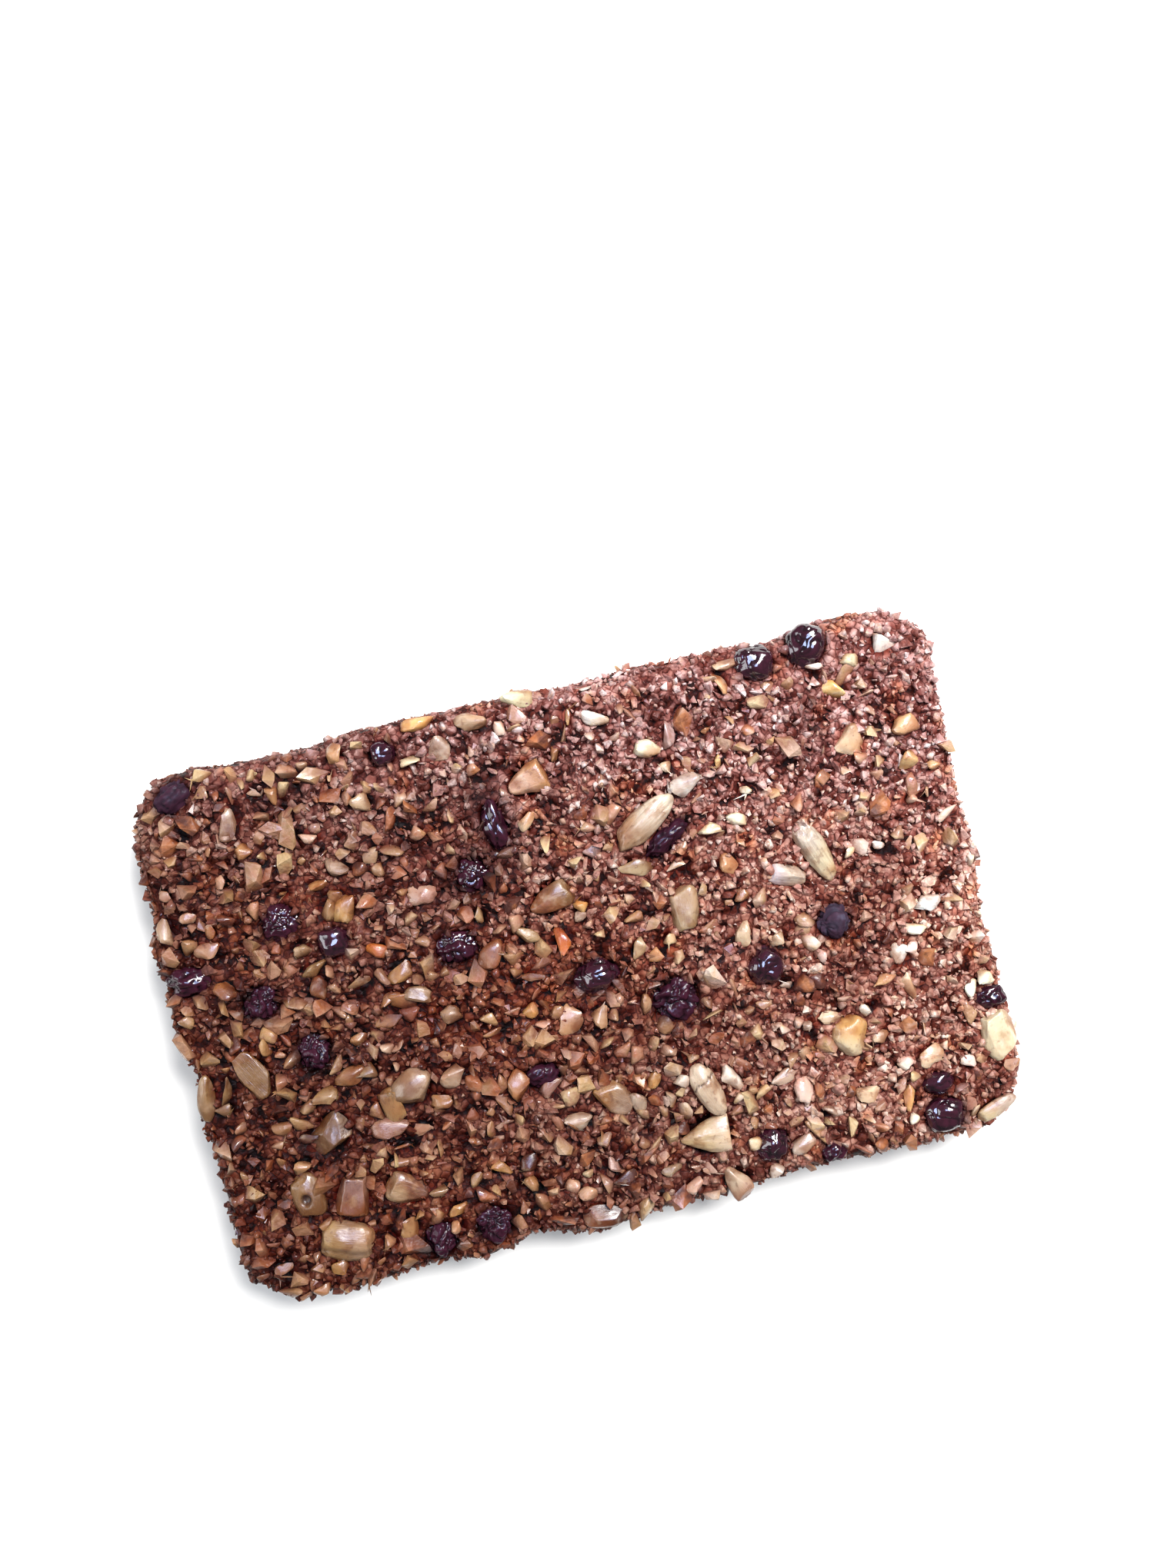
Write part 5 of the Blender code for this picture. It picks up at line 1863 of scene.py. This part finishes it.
class Ground:
    """Heights and depths, read from a surface."""

    ABOVE = 50 * MM  # where the rays start that find the top
    RAYS = 10
    LOWEST_TOP = 6 * MM  # what lies lower isn't the top
    USUAL_TOP = 8.6 * MM

    def __init__(self, surface: Piece) -> None:
        """Keeps a search tree of the surface."""
        graph = bpy.context.evaluated_depsgraph_get()
        self.tree = BVHTree.FromObject(surface, graph)

    def height(self, x: float, y: float, reach: float) -> float:
        """The middle height of the top round a place.

        Args:
            x: The place's x in metres.
            y: The place's y in metres.
            reach: How far from it the heights are read.

        Returns:
            The height in metres.
        """
        found = []
        for step in range(self.RAYS):
            angle = step * math.tau / self.RAYS
            start = Vector((x + reach * math.cos(angle), y + reach * math.sin(angle), self.ABOVE))
            hit = self.tree.ray_cast(start, Vector((0, 0, -1)))[0]
            if hit is not None and hit.z > self.LOWEST_TOP:
                found.append(hit.z)
        return float(np.median(found)) if found else self.USUAL_TOP

    def depths(self, mesh: Mesh) -> np.ndarray:
        """Measures how far a mesh's points lie under the surface.

        Args:
            mesh: The mesh.

        Returns:
            The depths in metres.
        """
        found = []
        for point in mesh.vertices:
            near, normal, _, _ = self.tree.find_nearest(point.co)
            found.append((near - point.co).dot(normal))
        return np.array(found)

    def store_depth(self, piece: Piece) -> None:
        """Notes where each point lies against the surface.

        The attribute depth is 0 on it and 1 at the bottom of the pores. The attribute rim is 0 well above
        it and 1 on it.

        Args:
            piece: The piece.
        """
        depths = self.depths(piece.data)
        store(piece.data, "depth", smooth_step(depths, 0.12 * MM, 0.80 * MM))
        store(piece.data, "rim", smooth_step(depths, -0.35 * MM, 0.10 * MM))


# ---------------------------------------------------------------- kernels, chips and berries


def paint(
    points: np.ndarray, body: Colour, tip: Colour, dice: random.Random, stray: float = 1.0
) -> np.ndarray:
    """A colour for each point: the body, going over to the tip's colour about along +X, a little uneven.

    Args:
        points: A piece's own coordinates, -1 to 1.
        body: The body's colour.
        tip: The colour at the end that the turn faces.
        dice: The seeded draws.
        stray: How far from +X the tip may lie, in radians.

    Returns:
        One colour a point.
    """
    edge = dice.uniform(-0.2, 0.35) * stray
    way = dice.uniform(-1.0, 1.0) * stray
    along = points[:, 0] * math.cos(way) + points[:, 1] * math.sin(way)
    share = smooth_step(along, edge - 0.35, edge + 0.6)[:, None]
    colours = np.array(body)[None, :] * (1 - share) + np.array(tip)[None, :] * share
    colours[:, :3] *= dice.uniform(0.86, 1.1)
    return colours


class SetInMaker:
    """Makes pieces that sit in the top, each in the place of its solid."""

    SWELL = 1.0  # how much larger than its solid a piece is, so that it closes the gap round it

    def __init__(self, highest: float, finish: Material) -> None:
        """Keeps the highest point that a piece may reach, and the finish."""
        self.highest = highest
        self.finish = finish

    def fit(self, mesh: Mesh, node: str, held: Kernel | Berry) -> None:
        """Moves a form of radius 1 to its place, at its size and turn.

        Args:
            mesh: The form.
            node: Its node.
            held: Its kernel or berry.
        """
        low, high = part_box(node)
        rise = (high[2] - low[2]) / 2
        sizes = Vector((held.length * MM / 2, held.width * MM / 2, rise)) * self.SWELL
        place = Matrix.Translation(middle(node)) @ Matrix.Rotation(math.radians(held.turn), 4, "Z")
        mesh.transform(place @ Matrix.Diagonal((*sizes, 1.0)))
        keep_below(mesh, self.highest)


class KernelMaker(SetInMaker):
    """Makes the kernels."""

    SWELL = 1.10
    LARGE = 5.0  # a kernel longer than this, in mm, has a finer mesh
    BREAK = 0.94  # how flat a broken face is, where 1 is a plane
    # painted shade in cracks, holes and folds, and the kernel's own colour in streaks and stripes
    DARK = srgb(72, 38, 26)  # the colour of marks

    def form(self, kernel: Kernel, dice: random.Random) -> tuple[Mesh, np.ndarray, np.ndarray]:
        """A kernel of radius 1 in its own axes.

        Args:
            kernel: The kernel.
            dice: The seeded draws.

        Returns:
            The mesh, its points, and how dark its marks are at each of them.
        """
        shape = bmesh.new()
        fineness = 5 if kernel.length > self.LARGE else 4
        bmesh.ops.create_icosphere(shape, subdivisions=fineness, radius=1.0)
        planes = []
        for angle, reach, tilt in kernel.cuts:
            facing = math.radians(angle)
            planes.append((Vector((math.cos(facing), math.sin(facing), tilt)).normalized(), reach))
        offset = noise_shift(dice)
        dark = []
        for vertex in shape.verts:
            point = vertex.co.copy()
            round_share = math.hypot(point.y, point.z)
            blunt = kernel.bluntness
            point *= (abs(point.x) ** blunt + round_share**blunt) ** (-1 / blunt)
            for way, reach in planes:
                over = point.dot(way) - reach
                if over > 0:
                    point -= way * over * self.BREAK
            narrowing = 1.0 - kernel.taper * (0.5 + 0.5 * point.x) ** 1.5
            point = Vector((point.x, point.y * narrowing, point.z * narrowing**0.5))
            uneven = 0.10 * noise.noise(point * 1.4 + offset) + 0.035 * noise.noise(point * 3.6 - offset)
            point *= 1.0 + uneven + 0.012 * noise.noise(point * 9.0 + offset)
            depth, shade = self.mark(kernel.mark, point, offset)
            point.z -= depth
            dark.append(shade)
            vertex.co = point
        mesh = new_mesh(kernel.name, shape)
        mesh.shade_smooth()
        return mesh, points_of(mesh).astype(float), np.array(dark)

    def mark(self, mark: Mark, point: Vector, offset: Vector) -> tuple[float, float]:
        """Draws a mark on the kernel's face; cracks, holes and folds are darkened as painted shade.

        Args:
            mark: The mark.
            point: A point of the kernel.
            offset: What makes this kernel's noise unlike another's.

        Returns:
            How deep and how dark the mark is at the point.
        """
        wave = 0.09 * noise.noise(point * 2.2 + offset)
        if point.z < 0:
            return 0.0, 0.0
        if mark is Mark.FOLD:
            # painted shade: the fold's groove, and one side of it, are darker
            away = (point.y - wave + 0.40) / 0.16
            line = math.exp(-away * away)
            return 0.12 * line, 0.45 * line + (0.2 if away < 0 else 0.0)
        if mark is Mark.CRACK:
            # painted shade in the crack
            line = math.exp(-(((point.x + 0.35 + 2 * wave + 0.1 * point.y) / 0.035) ** 2))
            return 0.22 * line, 0.9 * line
        if mark is Mark.HOLE:
            # painted shade in the hole
            away = math.hypot(point.x * 1.4 + 0.10, point.y - 0.12)
            line = 1 / (1 + math.exp((away - 0.30) / 0.04))
            return 0.6 * line, 1.0 * line
        if mark is Mark.STREAKS:
            streak = noise.noise(Vector((point.x * 1.2, point.y * 7.0, 0.0)) + offset)
            line = max(0.0, streak - 0.08) * 2.2
            return 0.04 * min(line, 1.0), 0.2 * min(line, 1.0)
        if mark is Mark.STRIPES:
            line = 0.5 + 0.5 * math.sin(point.y * 22 + 12 * wave)
            return 0.035 * line, 0.22 * line
        return 0.0, 0.0

    def build(self, kernel: Kernel) -> Piece:
        """Makes one kernel in its place.

        Args:
            kernel: The kernel.

        Returns:
            Its finished piece.
        """
        dice = random.Random(kernel.name)
        mesh, own, dark = self.form(kernel, dice)
        colours = paint(own + (0.25, 0.0, 0.0), kernel.body.value.body, kernel.tip.value.body, dice, 0.4)
        dark = dark[:, None]
        colours[:, :3] = colours[:, :3] * (1 - dark) + np.array(self.DARK[:3]) * dark
        self.fit(mesh, kernel.name, kernel)
        store(mesh, "own", own)
        store(mesh, "tint", colours)
        return finish_piece(new_piece(kernel.name + "_seed", mesh, self.finish), (kernel.name,))


class ChipMaker:
    """Makes the chips whose places are known, and the bent skins."""

    FLATNESS = 0.6  # a chip's height for each mm of its width
    SWELL = 1.16  # the part of a chip that the crumb hides round its rim
    HOLD = 0.12 * MM  # how deep a chip sits in the crumb at least
    PROUD = (0.22, 0.70)  # how far a chip stands out, in mm
    SOFTNESS = 0.14  # how rounded its edges are
    DENTS = 0.16  # how deep it is dented
    SKIN_PROUD = 0.3 * MM
    PALEST = 0.92
    PALENESS = np.array((1.31, 1.46, 1.60, 1.0))  # what the crumb's shade takes off a chip's colours
    RIGHT_PALENESS = np.array((0.22, 0.28, 0.38, 0.0))  # and how much more it takes at the right end

    def __init__(self, ground: Ground, crumb: Ground, highest: float, finish: Material) -> None:
        """Keeps what the chips need.

        Args:
            ground: The even ground.
            crumb: The finished crumb.
            highest: How high a chip may reach, in metres.
            finish: The chips' material.
        """
        self.ground = ground
        self.crumb = crumb
        self.highest = highest
        self.finish = finish

    def place(
        self, mesh: Mesh, row: tuple[float, ...], proud: float, height: float, dice: random.Random
    ) -> None:
        """Moves a form of radius 1 into its place in the top.

        Args:
            mesh: The form.
            row: Its x, y, length and width in mm, and its turn in degrees.
            proud: How far it stands out, in metres.
            height: How high it is, in metres.
            dice: The seeded draws.
        """
        x, y, length, width, turn = row
        level = self.ground.height(x * MM, y * MM, (length + width) / 4 * MM * 1.15)
        lean = Euler((dice.uniform(-0.28, 0.28), dice.uniform(-0.22, 0.22), math.radians(turn)))
        length, width = length * self.SWELL, width * self.SWELL
        top = min(level + proud, self.highest - 0.1 * MM)
        where = Matrix.Translation((x * MM, y * MM, top - height / 2)) @ lean.to_matrix().to_4x4()
        mesh.transform(where @ Matrix.Diagonal((length / 2 * MM, width / 2 * MM, height / 2, 1.0)))
        held = self.crumb.depths(mesh).max()
        if held < self.HOLD:
            mesh.transform(Matrix.Translation((0, 0, held - self.HOLD)))

    def build_chips(self) -> Piece:
        """Makes all chips as one piece.

        Returns:
            The finished piece.
        """
        joined = bmesh.new()
        own_all, tint_all = [], []
        dice = random.Random(31)
        for tone, rows in CHIPS.items():
            for row in rows:
                mesh = broken_chip(dice, dice.randint(9, 12), self.SOFTNESS)
                roughen(mesh, dice, self.DENTS)
                own = points_of(mesh).astype(float)
                reach = np.abs(own).max(axis=0)
                mesh.transform(Matrix.Diagonal((*(1 / part for part in reach), 1.0)))
                height = (self.FLATNESS * row[3] + dice.uniform(0.3, 0.7)) * MM
                self.place(mesh, row, dice.uniform(*self.PROUD) * MM, height, dice)
                own_all.append(own / reach)
                paler = self.PALENESS * (1 + smooth_step(row[0], -15, 40) * self.RIGHT_PALENESS)
                tint = paint(own, tone.value.body, tone.value.tip, dice) * paler
                tint_all.append(np.minimum(tint, self.PALEST))
                joined.from_mesh(mesh)
                bpy.data.meshes.remove(mesh)
        return self.finish_joined("crumb_chips_placed", joined, own_all, tint_all)

    def build_skins(self) -> Piece:
        """Makes the bent skins as one piece.

        Returns:
            The finished piece.
        """
        joined = bmesh.new()
        own_all, tint_all = [], []
        dice = random.Random(47)
        for x, y, length, width, turn, bend in SKINS:
            mesh = bent_strip(dice, math.radians(bend), 10)
            own = points_of(mesh).astype(float)
            mesh.transform(Matrix.Rotation(math.pi / 2, 4, "X"))
            self.place(mesh, (x, y, length, length, turn), self.SKIN_PROUD, width * 3 * MM, dice)
            own_all.append(own)
            tint_all.append(paint(own, Tone.CREAM.value.body, Tone.PINK.value.body, dice))
            joined.from_mesh(mesh)
            bpy.data.meshes.remove(mesh)
        return self.finish_joined("crumb_skins_placed", joined, own_all, tint_all)

    def finish_joined(
        self, name: str, joined: bmesh.types.BMesh, own: list[np.ndarray], tint: list[np.ndarray]
    ) -> Piece:
        """Makes one finished piece of the joined meshes.

        Args:
            name: Its name.
            joined: The joined meshes.
            own: Their points in their own coordinates.
            tint: Their points' colours.

        Returns:
            The piece.
        """
        mesh = new_mesh(name, joined)
        store(mesh, "own", np.concatenate(own))
        store(mesh, "tint", np.concatenate(tint))
        return finish_piece(new_piece(name, mesh, self.finish), ("bar",))


class BerryMaker(SetInMaker):
    """Makes the berries."""

    SWELL = 1.06
    LARGE = 3.5  # a berry wider than this, in mm, has a finer mesh

    def build(self, number: int, berry: Berry) -> Piece:
        """Makes one berry in its place.

        Args:
            number: Its number, from 1.
            berry: The berry.

        Returns:
            Its finished piece.
        """
        node = berry_node(number)
        deep, fine, shine = berry.skin.value
        offset = noise_shift(random.Random(900 + number))
        shape = bmesh.new()
        fineness = 5 if berry.width > self.LARGE else 4
        bmesh.ops.create_icosphere(shape, subdivisions=fineness, radius=1.0)
        folds = []
        for vertex in shape.verts:
            way = vertex.co.copy()
            warp = Vector((noise.noise(way * 1.1 + offset), noise.noise(way * 1.1 - offset), 0.0)) * 0.5
            ridge = 1 - abs(noise.noise((way + warp) * 1.9 + offset)) * 2
            crease = max(0.0, ridge) ** 3
            small = max(0.0, 1 - abs(noise.noise((way + warp) * 4.2 - offset)) * 2.2) ** 2
            body = 1.04 + (0.16 + 0.6 * deep) * noise.noise(way * 1.2 - offset)
            size = body - deep * 0.7 * crease - deep * 0.25 * small + fine * noise.noise(way * 9 + offset)
            # fold is 0 in the creases, where the skin gets painted shade
            folds.append(1 - max(0.0, min(1.0, crease * 0.8 + small * 0.5)))
            vertex.co = way * size
        mesh = new_mesh(node, shape)
        mesh.shade_smooth()
        self.fit(mesh, node, berry)
        store(mesh, "fold", np.array(folds))
        store(mesh, "shine", np.full(len(folds), shine))
        return finish_piece(new_piece(node + "_skin", mesh, self.finish), (node,))


JUICE_SPREAD = 1.45  # how far a berry's juice reaches, where 1 is its outline,
CRUSHED_SPREAD = 2.7  # and a crushed berry's


def store_juice(piece: Piece) -> None:
    """Notes how much dark juice each point has taken up from a berry near it.

    Args:
        piece: A piece of crumb.
    """
    points = points_of(piece.data)
    juice = np.zeros(len(points))
    for number, berry in enumerate(BERRIES, 1):
        node = berry_node(number)
        spread = CRUSHED_SPREAD if berry.skin is Skin.CRUSHED else JUICE_SPREAD
        away = seat_of(node, berry).distance(points)
        near = smooth_step(np.abs(points[:, 2] - middle(node).z), 4 * MM, 2 * MM)
        juice = np.maximum(juice, near * smooth_step(away, spread, 0.9))
    store(piece.data, "juice", juice)


def finish_crumb(piece: Piece, ground: Ground) -> None:
    """Notes on a scattered piece what its colours need, and ties it to the bar.

    Args:
        piece: The piece.
        ground: The even ground.
    """
    store_juice(piece)
    ground.store_depth(piece)
    finish_piece(piece, ("bar",))


# ---------------------------------------------------------------- studio


@dataclass(frozen=True)
class Light:
    """A square area light that faces the bar.

    Attributes:
        name: Its name.
        place: Where it stands, in metres.
        size: Its side in metres.
        power: Its power in watts.
        colour: Its colour.
        gloss_only: Whether it only shows as a reflection.
    """

    name: str
    place: tuple[float, float, float]
    size: float
    power: float
    colour: tuple[float, float, float]
    gloss_only: bool = False


@dataclass
class Studio:
    """The floor, the lights and the camera.

    Attributes:
        camera_place: Where the camera stands, in metres.
        camera_turn: Its turn about X, Y and Z, in degrees.
        lens: Its focal length in mm, for a 36 mm sensor.
        lights: The lights.
        floor_reach: How far the floor reaches from the bar, in metres.
        sky: The surround's colour.
        sky_strength: How bright the surround is.
        sky_gloss: How much of that is left out in reflections.
    """

    camera_place: tuple[float, float, float] = (-5.75 * MM, 27.67 * MM, 141.97 * MM)
    camera_turn: tuple[float, float, float] = (-2.3, -4.35, -12.93)
    lens: float = 26.48
    lights: tuple[Light, ...] = (
        Light("key", (0.28, 0.33, 0.56), 0.28, 10.9, (1.0, 0.975, 0.935)),
        Light("left", (-0.42, 0.06, 0.30), 0.30, 1.4, (0.95, 0.97, 1.0)),
        Light("window", (0.05, 0.16, 0.60), 0.28, 3.8, (0.50, 0.62, 1.0), gloss_only=True),
    )
    floor_reach: float = 1.5
    sky: Colour = (0.93, 0.96, 1.0, 1.0)
    sky_strength: float = 0.405
    sky_gloss: float = 0.28

    def build(self) -> None:
        """Makes them all."""
        self.add_floor()
        self.add_camera()
        for light in self.lights:
            self.add_light(light)
        self.add_sky()

    def add_floor(self) -> None:
        """A plain pale floor."""
        shape = bmesh.new()
        bmesh.ops.create_grid(shape, x_segments=1, y_segments=1, size=self.floor_reach)
        new_piece("floor", new_mesh("floor", shape), FloorFinish().build())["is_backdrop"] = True

    def add_camera(self) -> None:
        """A camera with the photograph's place, turn and field."""
        camera = bpy.data.cameras.new("camera")
        camera.lens = self.lens
        camera.sensor_width = 36.0
        camera.clip_start = 0.005
        placed = bpy.data.objects.new("camera", camera)
        placed.location = self.camera_place
        placed.rotation_euler = [math.radians(angle) for angle in self.camera_turn]
        bpy.context.scene.collection.objects.link(placed)
        bpy.context.scene.camera = placed

    def add_light(self, light: Light) -> None:
        """Puts a light in its place.

        Args:
            light: The light.
        """
        lamp = bpy.data.lights.new(light.name, "AREA")
        lamp.shape = "SQUARE"
        lamp.size = light.size
        lamp.energy = light.power
        lamp.color = light.colour
        placed = bpy.data.objects.new(light.name, lamp)
        placed.location = light.place
        placed.rotation_euler = Vector(light.place).to_track_quat("Z", "Y").to_euler()
        placed.visible_diffuse = not light.gloss_only
        bpy.context.scene.collection.objects.link(placed)

    def add_sky(self) -> None:
        """A pale, even surround."""
        world = bpy.data.worlds.new("surround")
        world.use_nodes = True
        tree = world.node_tree
        glossy = add_node(tree, "ShaderNodeLightPath").outputs["Is Glossy Ray"]
        strength = minus(tree, self.sky_strength, times(tree, glossy, self.sky_gloss))
        feed(tree, tree.nodes["Background"], {"Color": self.sky, "Strength": strength})
        bpy.context.scene.world = world
        bpy.context.scene.view_settings.view_transform = "Standard"


# ---------------------------------------------------------------- the whole


INSET = 0.02 * MM  # how far the pieces stay inside the solids' box


def main() -> None:
    """Builds and dresses the whole bar."""
    logging.basicConfig(level=logging.INFO, format="%(message)s")
    for name in ("Cube", "Light", "Camera"):
        if name in bpy.data.objects:
            bpy.data.objects.remove(bpy.data.objects[name])
    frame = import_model()
    cad_box = [list(corner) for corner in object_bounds()]
    inset = Vector((INSET, INSET, 0.0))
    low = Vector(cad_box[0]) + inset
    high = Vector(cad_box[1]) - inset
    box = (low, high)

    groups = (region_group(), wet_group(), cell_group())
    core_finish = CORE_CRUMB.build(*groups)
    grain_finish = LOOSE_CRUMB.build(*groups)
    chip_finish = LOOSE_CHIPS.build(*groups)
    seed_finish = SeedFinish().build(groups[0])
    berry_finish = BerryFinish().build()

    tree = ScatterTree()
    pressed = PressedCrumb()
    crumb, ground = pressed.build(frame["nodes"], find_seats(), tree, box)
    for scatter in LOOSE_PIECES:
        finish = grain_finish if scatter.form is Form.GRAIN else chip_finish
        finish_crumb(scatter.build(crumb, tree, finish, box), ground)
    store_juice(crumb)
    ground.store_depth(crumb)
    fused = Ground(crumb)
    for block in pressed.cut_blocks(crumb, core_finish):
        finish_piece(block, ("bar",))

    chips = ChipMaker(ground, fused, high.z, seed_finish)
    chips.build_chips()
    chips.build_skins()
    kernels = KernelMaker(high.z - INSET, seed_finish)
    for kernel in KERNELS:
        kernels.build(kernel)
    berries = BerryMaker(high.z - INSET, berry_finish)
    for number, berry in enumerate(BERRIES, 1):
        berries.build(number, berry)
    Studio().build()


if __name__ == "__main__":
    main()
